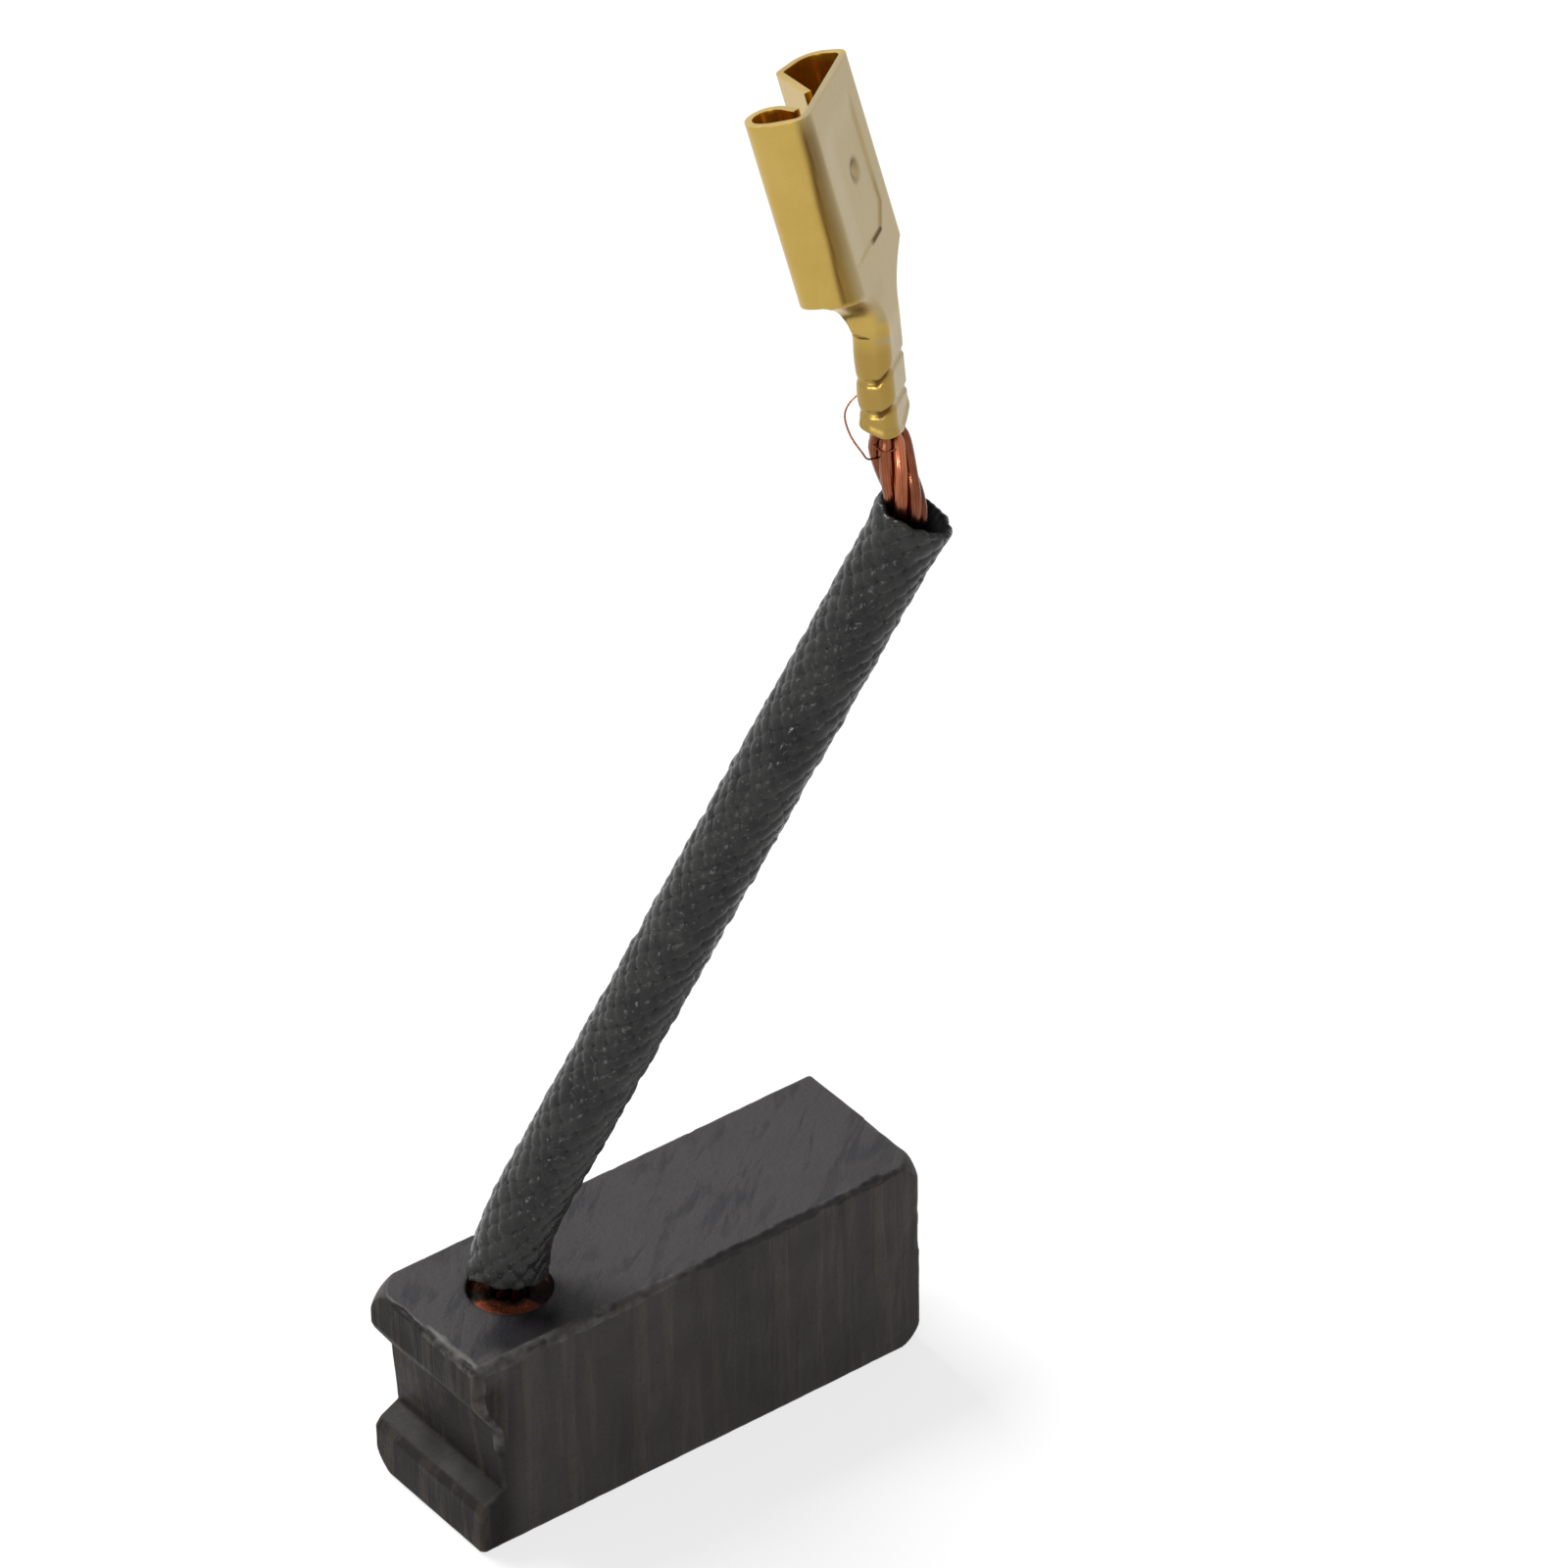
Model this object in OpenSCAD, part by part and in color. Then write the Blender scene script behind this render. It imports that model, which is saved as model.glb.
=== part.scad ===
// Carbon brush with a sleeved pigtail lead and a push-on terminal, in millimetres.
// Origin under the middle of the block; X runs to the contact end, Y across, Z up.

/* [Block] */

// Length of the carbon block, groove end to contact end
block_l = 19; // [14:0.5:26]
// Width of the block across the brush holder
block_w = 6.3; // [5:0.1:8]
// Height of the block
block_h = 8; // [6.5:0.1:12]
// Bevel along the long edges
edge_bevel = 0.2; // [0.1:0.05:0.5]
// Depth of the spring groove at the foot of its floor
groove_depth = 1; // [0.5:0.05:1.4]
// Depth of the spring groove at the head of its floor
groove_shallow = 0.8; // [0.4:0.05:1.2]
// Height of the lower lip of the groove
groove_low = 2; // [1:0.1:2.6]
// Height of the upper lip of the groove
groove_high = 6.1; // [4.5:0.1:6.3]
// Height of the lower flank
groove_toe = 0.4; // [0.2:0.05:0.8]
// Height of the sloping upper flank
groove_slope = 1.1; // [0.5:0.1:2]
// Wear of the top far corner at the groove end
wear_a = 1.6; // [0.2:0.05:2]
// Wear of the bottom far corner at the groove end
wear_b = 1.45; // [0.2:0.05:2]
// Wear of the top near corner at the contact end
wear_c = 1.45; // [0.2:0.05:2]
// Wear of the bottom near corner at the contact end
wear_d = 1.35; // [0.2:0.05:2]
// Wear of the bottom near corner at the groove end
wear_e = 0.5; // [0.2:0.05:2]

/* [Lead hole] */

// Diameter of the lead hole
hole_d = 3; // [2.8:0.05:4]
// Depth of the straight part of the hole
hole_depth = 5; // [4:0.1:6]
// Distance of the hole from the groove end
hole_inset = 3.7; // [3.2:0.1:6]
// Included angle of the drill point
drill_angle = 118; // [90:1:135]
// Drop of the tamping powder below the rim
powder_drop = 0.15; // [0.05:0.05:0.4]

/* [Lead] */

// Diameter of the copper rope
lead_d = 1.4; // [1:0.05:1.6]
// Depth of the rope foot below the rim
lead_foot = 4.4; // [2:0.1:5]

/* [Sleeve] */

// Outside diameter of the sleeve
sleeve_d = 2.6; // [2.4:0.05:2.7]
// Wall of the sleeve
sleeve_wall = 0.3; // [0.15:0.05:0.35]
// Diameter of the sleeve at its flared ends
sleeve_end_d = 2.8; // [2.6:0.05:2.9]
// Length of the flares
sleeve_flare = 1.6; // [1:0.1:2]
// Height of the widened foot over the block
sleeve_foot_h = 1.2; // [0.5:0.1:1.5]
// Depth of the sleeve end in the powder, on its low side
sleeve_seat = 0.5; // [0.3:0.05:1]
// Rise of the askew sleeve end across the hole
sleeve_rise = 1.6; // [1.2:0.05:1.8]
// Distance of the sleeve from the middle of the hole
sleeve_shift = 0.08; // [0:0.01:0.09]
// Radius of the bend above the block
sleeve_bend_r = 8; // [7:0.5:9]
// Lean of the straight run
sleeve_lean = 27.6; // [26.5:0.1:28.5]
// Length of the straight run
sleeve_run = 29.1; // [25:0.1:30]
// Direction of the lean, turned from the X axis
lead_heading = -24; // [-40:1:0]

/* [Terminal] */

// Thickness of the brass strip
strip_t = 0.25; // [0.2:0.01:0.3]
// Length of the crimp barrel
barrel_l = 3.7; // [3:0.1:4.5]
// Width of the crimp barrel
barrel_w = 2.1; // [1.8:0.05:2.4]
// Height of the crimp barrel
barrel_h = 1.3; // [1.2:0.05:1.6]
// Length of the neck between barrel and receptacle
neck_l = 2.05; // [1.8:0.05:3]
// Length of the receptacle
receptacle_l = 6.6; // [5:0.1:8]
// Flat of the floor on the near side
floor_near = 1.8; // [1.6:0.05:2.2]
// Flat of the floor on the far side
floor_far = 2.5; // [2.2:0.05:2.8]
// Angle between the barrel and the receptacle
crimp_bend = 11; // [0:0.5:20]
// Depth of the pressed bands round the barrel
band_depth = 0.06; // [0.02:0.01:0.1]
// Depth of the coined panel in the floor
panel_depth = 0.05; // [0.02:0.01:0.1]
// Diameter of the locking dimple
dimple_d = 0.7; // [0.4:0.05:1]
// Height of the locking dimple
dimple_h = 0.16; // [0.08:0.02:0.24]

/* [Hidden] */

// step of the folded bends in degrees
fold_step = 15;
// steps of a quarter turn in the barrel and the neck
quarter = 4;
// sides of the plain rope
lead_sides = 8;
lead_r = lead_d / 2;
sleeve_bore = sleeve_d - 2 * sleeve_wall;
drill_tip = hole_d / 2 / tan(drill_angle / 2);
// overlap of the straight run into the bend, and its surplus there so the two meet cleanly
sleeve_lap = 0.05;
sleeve_joint = 0.006;
half_l = block_l / 2;
half_w = block_w / 2;
// sphere radius over corner wear, so that the cut leaves three round lips
wear_ratio = 1.42;
// rounding of the groove lips
lip = 0.25;

// middle of the barrel mouth, seen from the hole mouth along the lead heading
bell_at = [13.59, 0.85, 32.6];
// turn of the receptacle in the same frame
terminal_turn = [-17, 5.5, 61.5];
neck_bend_r = 3;
neck_bend_l = neck_bend_r * crimp_bend * PI / 180;
barrel_corner = 0.45;
// half width and foot height of the two crimp lobes
lobe_r = barrel_w / 4;
lobe_y = barrel_h - lobe_r;
crimp_tip_y = lobe_y - 0.15;
seam = 0.04;
band_w = 0.3;
band_at = [0.75, 1.95];
// overlap of the neck into its neighbours, and the skin it stays under theirs
neck_lap = 0.06;
neck_skin = 0.01;
neck_rings = 12;
neck_corner = 0.5;
neck_wall_low = 0.55;
neck_wall_high = 1.15;
// share of the neck in which its walls come up to their full height
neck_rise = 0.2;
// middle of the floor, off the middle of the barrel
floor_mid = (floor_far - floor_near) / 2;
neck_half = (floor_far + floor_near) / 2 + 0.45;
dimple_x = floor_mid + 0.2;
dimple_z = receptacle_l / 2 + 0.05;
dimple_r = (dimple_d * dimple_d / 4 + dimple_h * dimple_h) / 2 / dimple_h;
panel_far = floor_far - 0.65;
panel_near = floor_near - 0.15;
panel_low = 0.75;
panel_high = 5.4;
panel_cut = 0.7;
// straight length, bend radius and turn of each fold, from the floor to the tip
far_fold = [[floor_far, 0.4, 80], [0.38, 0.9, 75], [0.6, 0.25, 64], [2.3, 0, 0]];
near_fold = [[floor_near, 0.45, 85], [0.6, 1.6, 22], [0, 0.62, 140], [0, 0.75, 55], [0.6, 0, 0]];

function about_x(p, a) = [p.x, p.y * cos(a) - p.z * sin(a), p.y * sin(a) + p.z * cos(a)];
function about_y(p, a) = [p.x * cos(a) + p.z * sin(a), p.y, p.z * cos(a) - p.x * sin(a)];
function about_z(p, a) = [p.x * cos(a) - p.y * sin(a), p.x * sin(a) + p.y * cos(a), p.z];
function turned(p, r) = about_z(about_y(about_x(p, r.x), r.y), r.z);
function unit(v) = v / norm(v);
function smooth(x) = x <= 0 ? 0 : x >= 1 ? 1 : x * x * (3 - 2 * x);
function reversed(v) = [for (i = [len(v) - 1:-1:0]) v[i]];
function arc(c, r, from, to, n) =
    [for (i = [0:n]) c + r * [cos(from + (to - from) * i / n), sin(from + (to - from) * i / n)]];

// direction of the barrel in the frame of the lead
barrel_axis = turned(about_x([0, 0, 1], crimp_bend), terminal_turn);

// way of the rope: up out of the hole, along the sleeve, over the lip of its mouth to the barrel
route = [
    [0, 0, -lead_foot],
    [0, 0, -2.4],
    [0, 0, -0.9],
    [0, 0, -0.1],
    [0, 0, 0.6],
    [0.2, 0.12, 1.8],
    [0.7, 0.2, 3.3],
    [2.1, 0.2, 6],
    [3.7, 0.2, 9],
    [5.2, 0.2, 12],
    [6.8, 0.2, 15],
    [8.4, 0.2, 18],
    [9.9, 0.2, 21],
    [11.5, 0.2, 24],
    [12.6, 0.2, 26],
    [13.3, 0.2, 27.2],
    [13.85, 0.15, 28.3],
    [14.1, 0.1, 29.3],
    [14.08, 0.13, 29.9],
    [13.98, 0.2, 30.5],
    [13.86, 0.33, 31],
    [13.75, 0.48, 31.5],
    bell_at - 0.4 * barrel_axis,
    bell_at
];

function tangent(i) =
    i == len(route) - 1 ? barrel_axis
    : i == 0 ? [0, 0, 1]
    : unit(route[i + 1] - route[i - 1]);
function side_of(t) = unit(cross([0, 1, 0], t));
function lead_ring(i) =
    let (t = tangent(i), s = side_of(t), u = cross(t, s))
    [for (k = [0:lead_sides - 1])
        route[i] + lead_r * (cos(360 * k / lead_sides) * s + sin(360 * k / lead_sides) * u)];

// faces of a closed loft of m rings with n points each
function loft_faces(m, n) = concat(
    [[for (k = [0:n - 1]) k]],
    [for (i = [0:m - 2], k = [0:n - 1], h = [0:1])
        h == 0
            ? [i * n + k, (i + 1) * n + k, (i + 1) * n + (k + 1) % n]
            : [i * n + k, (i + 1) * n + (k + 1) % n, i * n + (k + 1) % n]],
    [[for (k = [n - 1:-1:0]) (m - 1) * n + k]]
);

// the same for a bent sheet, whose ring runs out along its outside and back along its inside
function sheet_faces(m, n) = concat(
    [for (k = [0:n / 2 - 2], h = [0:1]) h == 0 ? [k, k + 1, n - 2 - k] : [k, n - 2 - k, n - 1 - k]],
    [for (f = loft_faces(m, n)) if (len(f) == 3) f],
    [for (k = [0:n / 2 - 2], h = [0:1])
        let (b = (m - 1) * n)
        h == 0 ? [b + k, b + n - 2 - k, b + k + 1] : [b + k, b + n - 1 - k, b + n - 2 - k]]
);

// stations [x, y, heading] along a folded strip
function fold(seq, p, a, i = 0) =
    i >= len(seq) ? [[p.x, p.y, a]]
    : let (
        f = seq[i],
        q = p + f[0] * [cos(a), sin(a)],
        c = q + f[1] * [-sin(a), cos(a)],
        b = a + f[2],
        n = ceil(f[2] / fold_step),
        e = c + f[1] * [sin(b), -cos(b)]
    )
    concat(
        f[0] > 0 ? [[p.x, p.y, a]] : [],
        n == 0 ? [] : [for (k = [0:n - 1])
            let (h = a + f[2] * k / n)
            [c.x + f[1] * sin(h), c.y - f[1] * cos(h), h]],
        fold(seq, e, b, i + 1)
    );
function strip_side(st, d) = [for (s = st) [s.x - d * sin(s.z), s.y + d * cos(s.z)]];

// outline of the barrel, drawn in by e; the wing tips turn down where tip is true
function barrel_outline(e, tip) = concat(
    arc([-barrel_w / 2 + barrel_corner, barrel_corner], barrel_corner - e, 180, 270, quarter),
    arc([barrel_w / 2 - barrel_corner, barrel_corner], barrel_corner - e, 270, 360, quarter),
    arc([lobe_r, lobe_y], lobe_r - e, 0, 180, 2 * quarter),
    tip ? [[e, crimp_tip_y], [-e, crimp_tip_y]] : e > 0 ? [] : [],
    e > 0
        ? arc([-lobe_r, lobe_y], lobe_r - e, 0, 180, 2 * quarter)
        : [for (i = [1:2 * quarter])
            [-lobe_r, lobe_y] + lobe_r * [cos(180 * i / 2 / quarter), sin(180 * i / 2 / quarter)]]
);

// one ring of the neck at the distance s from the barrel
function neck_ring(s) =
    let (
        u = min(max(s / neck_l, 0), 1),
        a = barrel_w / 2 + (neck_half - barrel_w / 2) * pow(u, 2.6),
        m = floor_mid * smooth(u),
        h = neck_wall_low + (neck_wall_high - neck_wall_low) * smooth(u / neck_rise),
        c = barrel_corner + (neck_corner - barrel_corner) * u,
        o = neck_skin,
        w = strip_t - neck_skin,
        flat_ring = concat(
            [[-a + o, h]],
            arc([-a + c, c], c - o, 180, 270, quarter),
            arc([a - c, c], c - o, 270, 360, quarter),
            [[a - o, h], [a - w, h]],
            arc([a - c, c], c - w, 360, 270, quarter),
            arc([-a + c, c], c - w, 270, 180, quarter),
            [[-a + w, h]]
        ),
        along = min(s, neck_bend_l),
        g = max(along, 0) / neck_bend_r * 180 / PI,
        k = s - max(along, 0),
        base = [0, neck_bend_r * (1 - cos(g)) + k * sin(g), neck_bend_r * sin(g) + k * cos(g)]
    )
    [for (p = flat_ring) base + [p.x + m, p.y * cos(g), -p.y * sin(g)]];

module at_hole() {
    translate([hole_inset - half_l, 0, block_h])
        rotate([0, 0, lead_heading])
            children();
}

module at_crimp() {
    at_hole()
        translate(bell_at)
            rotate(terminal_turn)
                rotate([crimp_bend, 0, 0])
                    translate([0, -barrel_h / 2, 0])
                        children();
}

module at_receptacle() {
    at_crimp()
        translate([0, neck_bend_r, barrel_l])
            rotate([-crimp_bend, 0, 0])
                translate([0, -neck_bend_r, neck_l - neck_bend_l])
                    children();
}

module drilled(top) {
    rotate_extrude($fn = 64)
        polygon([[0, -hole_depth - drill_tip], [hole_d / 2, -hole_depth], [hole_d / 2, top], [0, top]]);
}

module worn_corner(sx, sy, top, wear) {
    r = wear_ratio * wear;
    inward = [-sx, -sy, top ? -1 : 1];
    corner = [sx * half_l, sy * half_w, top ? block_h : 0];
    difference() {
        translate(corner + inward * (wear - 1) / 2)
            cube(wear + 1, center = true);
        translate(corner + inward * wear)
            sphere(r = r, $fn = 64);
    }
}

module side_profile() {
    polygon([
        [-half_l + edge_bevel, 0],
        [half_l - edge_bevel, 0],
        [half_l, edge_bevel],
        [half_l, block_h - edge_bevel],
        [half_l - edge_bevel, block_h],
        [-half_l + edge_bevel, block_h],
        [-half_l, block_h - edge_bevel],
        [-half_l, groove_high + lip],
        [-half_l + lip / 2, groove_high],
        [-half_l + groove_shallow, groove_high - groove_slope],
        [-half_l + groove_depth, groove_low + groove_toe],
        [-half_l + lip, groove_low],
        [-half_l, groove_low - lip],
        [-half_l, edge_bevel]
    ]);
}

module end_profile() {
    polygon([
        [-half_w + edge_bevel, 0],
        [half_w - edge_bevel, 0],
        [half_w, edge_bevel],
        [half_w, block_h - edge_bevel],
        [half_w - edge_bevel, block_h],
        [-half_w + edge_bevel, block_h],
        [-half_w, block_h - edge_bevel],
        [-half_w, edge_bevel]
    ]);
}

module carbon_block() {
    color([0.27, 0.26, 0.26])
        difference() {
            intersection() {
                translate([0, half_w, 0])
                    rotate([90, 0, 0])
                        linear_extrude(block_w)
                            side_profile();
                translate([-half_l, 0, 0])
                    rotate([90, 0, 90])
                        linear_extrude(block_l)
                            end_profile();
            }
            at_hole()
                drilled(1);
            worn_corner(-1, 1, true, wear_a);
            worn_corner(-1, 1, false, wear_b);
            worn_corner(1, -1, true, wear_c);
            worn_corner(1, -1, false, wear_d);
            worn_corner(-1, -1, false, wear_e);
        }
}

module tamping_powder() {
    color([0.45, 0.2, 0.1])
        at_hole()
            difference() {
                drilled(-powder_drop);
                translate([0, sleeve_shift, 0])
                    intersection() {
                        sleeve_foot();
                        above_sleeve_end();
                    }
                translate([0, 0, -lead_foot])
                    cylinder(h = lead_foot, r = lead_r, $fn = lead_sides);
            }
}

module lead() {
    color([0.72, 0.42, 0.3]) {
        at_hole()
            polyhedron(
                points = [for (i = [0:len(route) - 1]) each lead_ring(i)],
                faces = loft_faces(len(route), lead_sides)
            );
        at_crimp()
            translate([0, 0, -0.1])
                linear_extrude(barrel_l + 0.3)
                    polygon(barrel_outline(strip_t, true));
    }
}

// half space over the plane in which the sleeve end is cut, low on the far side
module above_sleeve_end() {
    slope = atan(sleeve_rise / sleeve_end_d);
    translate([0, sleeve_end_d / 2, -sleeve_seat])
        rotate([-slope, 0, 0])
            translate([-5, -30, 0])
                cube([30, 60, 60]);
}

module sleeve_foot() {
    translate([0, 0, -sleeve_seat])
        cylinder(h = sleeve_seat + sleeve_foot_h, d = sleeve_end_d, $fn = 48);
    translate([0, 0, sleeve_foot_h])
        cylinder(h = sleeve_flare, d1 = sleeve_end_d, d2 = sleeve_d - 1, $fn = 48);
}

// stem of the sleeve: up, round the bend and along the straight run, run out by more at both ends
module sleeve_stem(d, more) {
    translate([0, 0, -sleeve_seat - more])
        cylinder(h = sleeve_seat + more, d = d, $fn = 48);
    translate([sleeve_bend_r, 0, 0])
        rotate([90, 0, 180])
            rotate_extrude(angle = sleeve_lean, $fn = 96)
                translate([sleeve_bend_r, 0])
                    circle(d = d, $fn = 48);
    at_sleeve_run()
        translate([0, 0, -sleeve_lap])
            cylinder(h = sleeve_run + sleeve_lap + more, d = d + sleeve_joint, $fn = 48);
}

module at_sleeve_run() {
    translate([sleeve_bend_r, 0, 0])
        rotate([0, sleeve_lean, 0])
            translate([-sleeve_bend_r, 0, 0])
                children();
}

module sleeve() {
    color([0.2, 0.2, 0.2])
        at_hole()
            translate([0, sleeve_shift, 0])
                intersection() {
                    above_sleeve_end();
                    difference() {
                        union() {
                            sleeve_stem(sleeve_d, 0);
                            sleeve_foot();
                            at_sleeve_run()
                                translate([0, 0, sleeve_run - sleeve_flare])
                                    cylinder(h = sleeve_flare, d1 = sleeve_d, d2 = sleeve_end_d, $fn = 48);
                        }
                        sleeve_stem(sleeve_bore, 1);
                    }
                }
}

module receptacle_section() {
    far_side = fold(far_fold, [0, strip_t / 2], 0);
    near_side = fold(near_fold, [0, strip_t / 2], 0);
    polygon(concat(
        [for (p = reversed(strip_side(near_side, -strip_t / 2))) [-p.x, p.y]],
        strip_side(far_side, -strip_t / 2),
        reversed(strip_side(far_side, strip_t / 2)),
        [for (p = strip_side(near_side, strip_t / 2)) [-p.x, p.y]]
    ));
}

module receptacle() {
    difference() {
        union() {
            linear_extrude(receptacle_l)
                receptacle_section();
            translate([dimple_x, strip_t + dimple_h - dimple_r, dimple_z])
                intersection() {
                    sphere(r = dimple_r, $fn = 48);
                    translate([0, dimple_r - dimple_h / 2 - 0.05, 0])
                        cube([dimple_d + 0.2, dimple_h + 0.1, dimple_d + 0.2], center = true);
                }
        }
        translate([dimple_x, dimple_h - dimple_r, dimple_z])
            sphere(r = dimple_r, $fn = 48);
        translate([0, panel_depth, 0])
            rotate([90, 0, 0])
                linear_extrude(1)
                    polygon([
                        [-panel_near, panel_low],
                        [panel_far - panel_cut, panel_low],
                        [panel_far, panel_low + panel_cut],
                        [panel_far, panel_high],
                        [-panel_near, panel_high]
                    ]);
    }
}

module barrel() {
    difference() {
        linear_extrude(barrel_l)
            polygon(barrel_outline(0, false));
        translate([0, 0, -1])
            linear_extrude(barrel_l + 2)
                polygon(barrel_outline(strip_t, true));
        translate([-seam / 2, crimp_tip_y - 0.1, -1])
            cube([seam, barrel_h, barrel_l + 2]);
        // the mouth is cut askew, higher on the far side
        translate([0, barrel_h + 1, 0])
            rotate([90, 0, 0])
                linear_extrude(barrel_h + 2)
                    polygon([
                        [-barrel_w, -1],
                        [-barrel_w, 0.8],
                        [-0.7 * barrel_w / 2, 0.15],
                        [-0.2 * barrel_w / 2, 0],
                        [0.3 * barrel_w / 2, 0.2],
                        [barrel_w, 1.5],
                        [barrel_w, -1]
                    ]);
        for (z = band_at)
            translate([0, 0, z])
                difference() {
                    translate([-barrel_w, -1, 0])
                        cube([2 * barrel_w, barrel_h + 2, band_w]);
                    translate([0, 0, -1])
                        linear_extrude(band_w + 2)
                            polygon(barrel_outline(band_depth, false));
                }
    }
}

module neck() {
    rings = [for (i = [0:neck_rings]) -neck_lap + (neck_l + 2 * neck_lap) * i / neck_rings];
    sides = 4 * quarter + 8;
    translate([0, 0, barrel_l])
        polyhedron(
            points = [for (s = rings) each neck_ring(s)],
            faces = sheet_faces(len(rings), sides)
        );
}

module terminal() {
    color([0.75, 0.63, 0.32]) {
        at_receptacle()
            receptacle();
        at_crimp()
            neck();
        at_crimp()
            barrel();
    }
}

carbon_block();
tamping_powder();
lead();
sleeve();
terminal();
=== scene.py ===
"""Carbon brush: a grooved carbon block, its copper rope in a braided sleeve, and a folded brass terminal.

All pieces are worked out in millimetres in the part's own frame (X to the contact end, Z up, origin under
the middle of the block) and put into their meshes in metres.
"""

import bmesh
import bpy
import numpy as np
from mathutils import Matrix


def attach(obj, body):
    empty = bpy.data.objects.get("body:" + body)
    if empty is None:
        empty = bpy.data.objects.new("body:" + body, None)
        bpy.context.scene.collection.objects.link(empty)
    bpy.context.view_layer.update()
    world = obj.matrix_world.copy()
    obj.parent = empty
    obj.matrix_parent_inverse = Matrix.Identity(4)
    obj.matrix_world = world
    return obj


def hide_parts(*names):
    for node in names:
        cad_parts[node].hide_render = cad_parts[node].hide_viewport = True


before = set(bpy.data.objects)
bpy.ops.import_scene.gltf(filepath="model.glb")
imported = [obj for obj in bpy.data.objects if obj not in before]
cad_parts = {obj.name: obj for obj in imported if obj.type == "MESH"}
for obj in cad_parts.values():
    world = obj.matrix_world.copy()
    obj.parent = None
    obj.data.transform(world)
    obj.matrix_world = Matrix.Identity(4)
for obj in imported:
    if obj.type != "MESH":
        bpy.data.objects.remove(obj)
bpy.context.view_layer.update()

MM = 0.001
TAU = 2 * np.pi


# ---- camera

def turn_about(axis, angle):
    """Rotation matrix by an angle in degrees about X, Y or Z, for axis 0, 1 or 2."""
    c, s = np.cos(np.radians(angle)), np.sin(np.radians(angle))
    return np.roll(np.array([[1, 0, 0], [0, c, -s], [0, s, c]]), axis, axis=(0, 1))


def set_up(name, data, right, up, back, at):
    """Put a camera or lamp into the scene at a point in mm, with its axes along right, up and back."""
    thing = bpy.data.objects.new(name, data)
    place = np.eye(4)
    place[:3] = np.stack([right, up, back, at * MM], axis=1)
    thing.matrix_world = Matrix(place.tolist())
    bpy.context.scene.collection.objects.link(thing)
    return thing


def add_camera(azimuth, elevation, roll, aim_x, aim_y, distance, lens):
    """A long lens looking down on the groove end, its axes worked out from azimuth, elevation and roll."""
    az, el, ro = np.radians([azimuth, elevation, roll])
    back = np.array([np.sin(az) * np.cos(el), -np.cos(az) * np.cos(el), np.sin(el)])
    level = np.cross([0, 0, 1], back)
    level /= np.linalg.norm(level)
    rise = np.cross(back, level)
    right = level * np.cos(ro) + rise * np.sin(ro)
    up = rise * np.cos(ro) - level * np.sin(ro)
    data = bpy.data.cameras.new("camera")
    data.sensor_width = 36
    data.lens = lens
    data.clip_start = 0.01
    data.clip_end = 20
    at = right * aim_x + up * aim_y + back * distance
    bpy.context.scene.camera = set_up("camera", data, right, up, back, at)


add_camera(-36.777, 36.072, -0.822, 4.649, 21.487, 370.13, 244.08)


# ---- mesh helpers

def grid_faces(rows, cols, wrap=False):
    """Quads of a grid of vertices numbered row by row, closed across its columns if wrap."""
    r = np.arange(rows - 1)[:, None]
    c = np.arange(cols if wrap else cols - 1)[None, :]
    n = (c + 1) % cols
    quads = np.stack([r * cols + c, r * cols + n, (r + 1) * cols + n, (r + 1) * cols + c], axis=-1)
    return quads.reshape(-1, 4)


def fan_faces(tip, first, count, back=False):
    """Triangles from a tip to a closed ring of count vertices, each a quad with a repeated corner."""
    here = first + np.arange(count)
    there = np.roll(here, -1)
    if back:
        here, there = there, here
    return np.stack([0 * here + tip, here, there, there], axis=1)


def join(parts):
    """Several (points, quads, uv) as one."""
    points, quads, uvs = zip(*parts)
    starts = np.cumsum([0] + [len(p) for p in points[:-1]])
    return np.vstack(points), np.vstack([q + start for q, start in zip(quads, starts)]), np.vstack(uvs)


def weld(points, quads, uv, places=5):
    """Merge equal vertices and drop quads that have lost two corners."""
    _, first, same = np.unique(np.round(points, places), axis=0, return_index=True, return_inverse=True)
    quads = same.reshape(-1)[quads]
    corners = np.sort(quads, axis=1)
    lost = (corners[:, 1:] == corners[:, :-1]).sum(axis=1)
    return points[first], quads[lost < 2], uv[first]


def add_piece(name, points, quads, materials, uv=None, painted_shade=None):
    """Put points in mm and quads (a repeated corner makes a triangle) into one mesh object."""
    quads = np.asarray(quads)
    keep = quads != np.roll(quads, 1, axis=1)
    sizes = keep.sum(axis=1)
    mesh = bpy.data.meshes.new(name)
    mesh.vertices.add(len(points))
    mesh.vertices.foreach_set("co", (np.asarray(points) * MM).astype(np.float32).ravel())
    mesh.loops.add(int(sizes.sum()))
    mesh.loops.foreach_set("vertex_index", quads[keep].astype(np.int32))
    mesh.polygons.add(len(quads))
    mesh.polygons.foreach_set("loop_start", (np.cumsum(sizes) - sizes).astype(np.int32))
    mesh.update(calc_edges=True)
    if uv is not None:
        layer = mesh.uv_layers.new(name="along")
        layer.data.foreach_set("uv", np.asarray(uv)[quads[keep]].astype(np.float32).ravel())
    # a mask of painted shade, kept on the points
    if painted_shade is not None:
        mesh.attributes.new("painted_shade", "FLOAT", "POINT").data.foreach_set("value", painted_shade.astype(np.float32))
    mesh.polygons.foreach_set("use_smooth", np.full(len(quads), True))
    mesh.validate()
    piece = bpy.data.objects.new(name, mesh)
    bpy.context.scene.collection.objects.link(piece)
    for material in materials:
        mesh.materials.append(material)
    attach(piece, "root")
    return piece


def outward(piece):
    """Turn every face of a closed piece outwards."""
    bm = bmesh.new()
    bm.from_mesh(piece.data)
    bmesh.ops.recalc_face_normals(bm, faces=bm.faces)
    bm.to_mesh(piece.data)
    bm.free()


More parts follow.
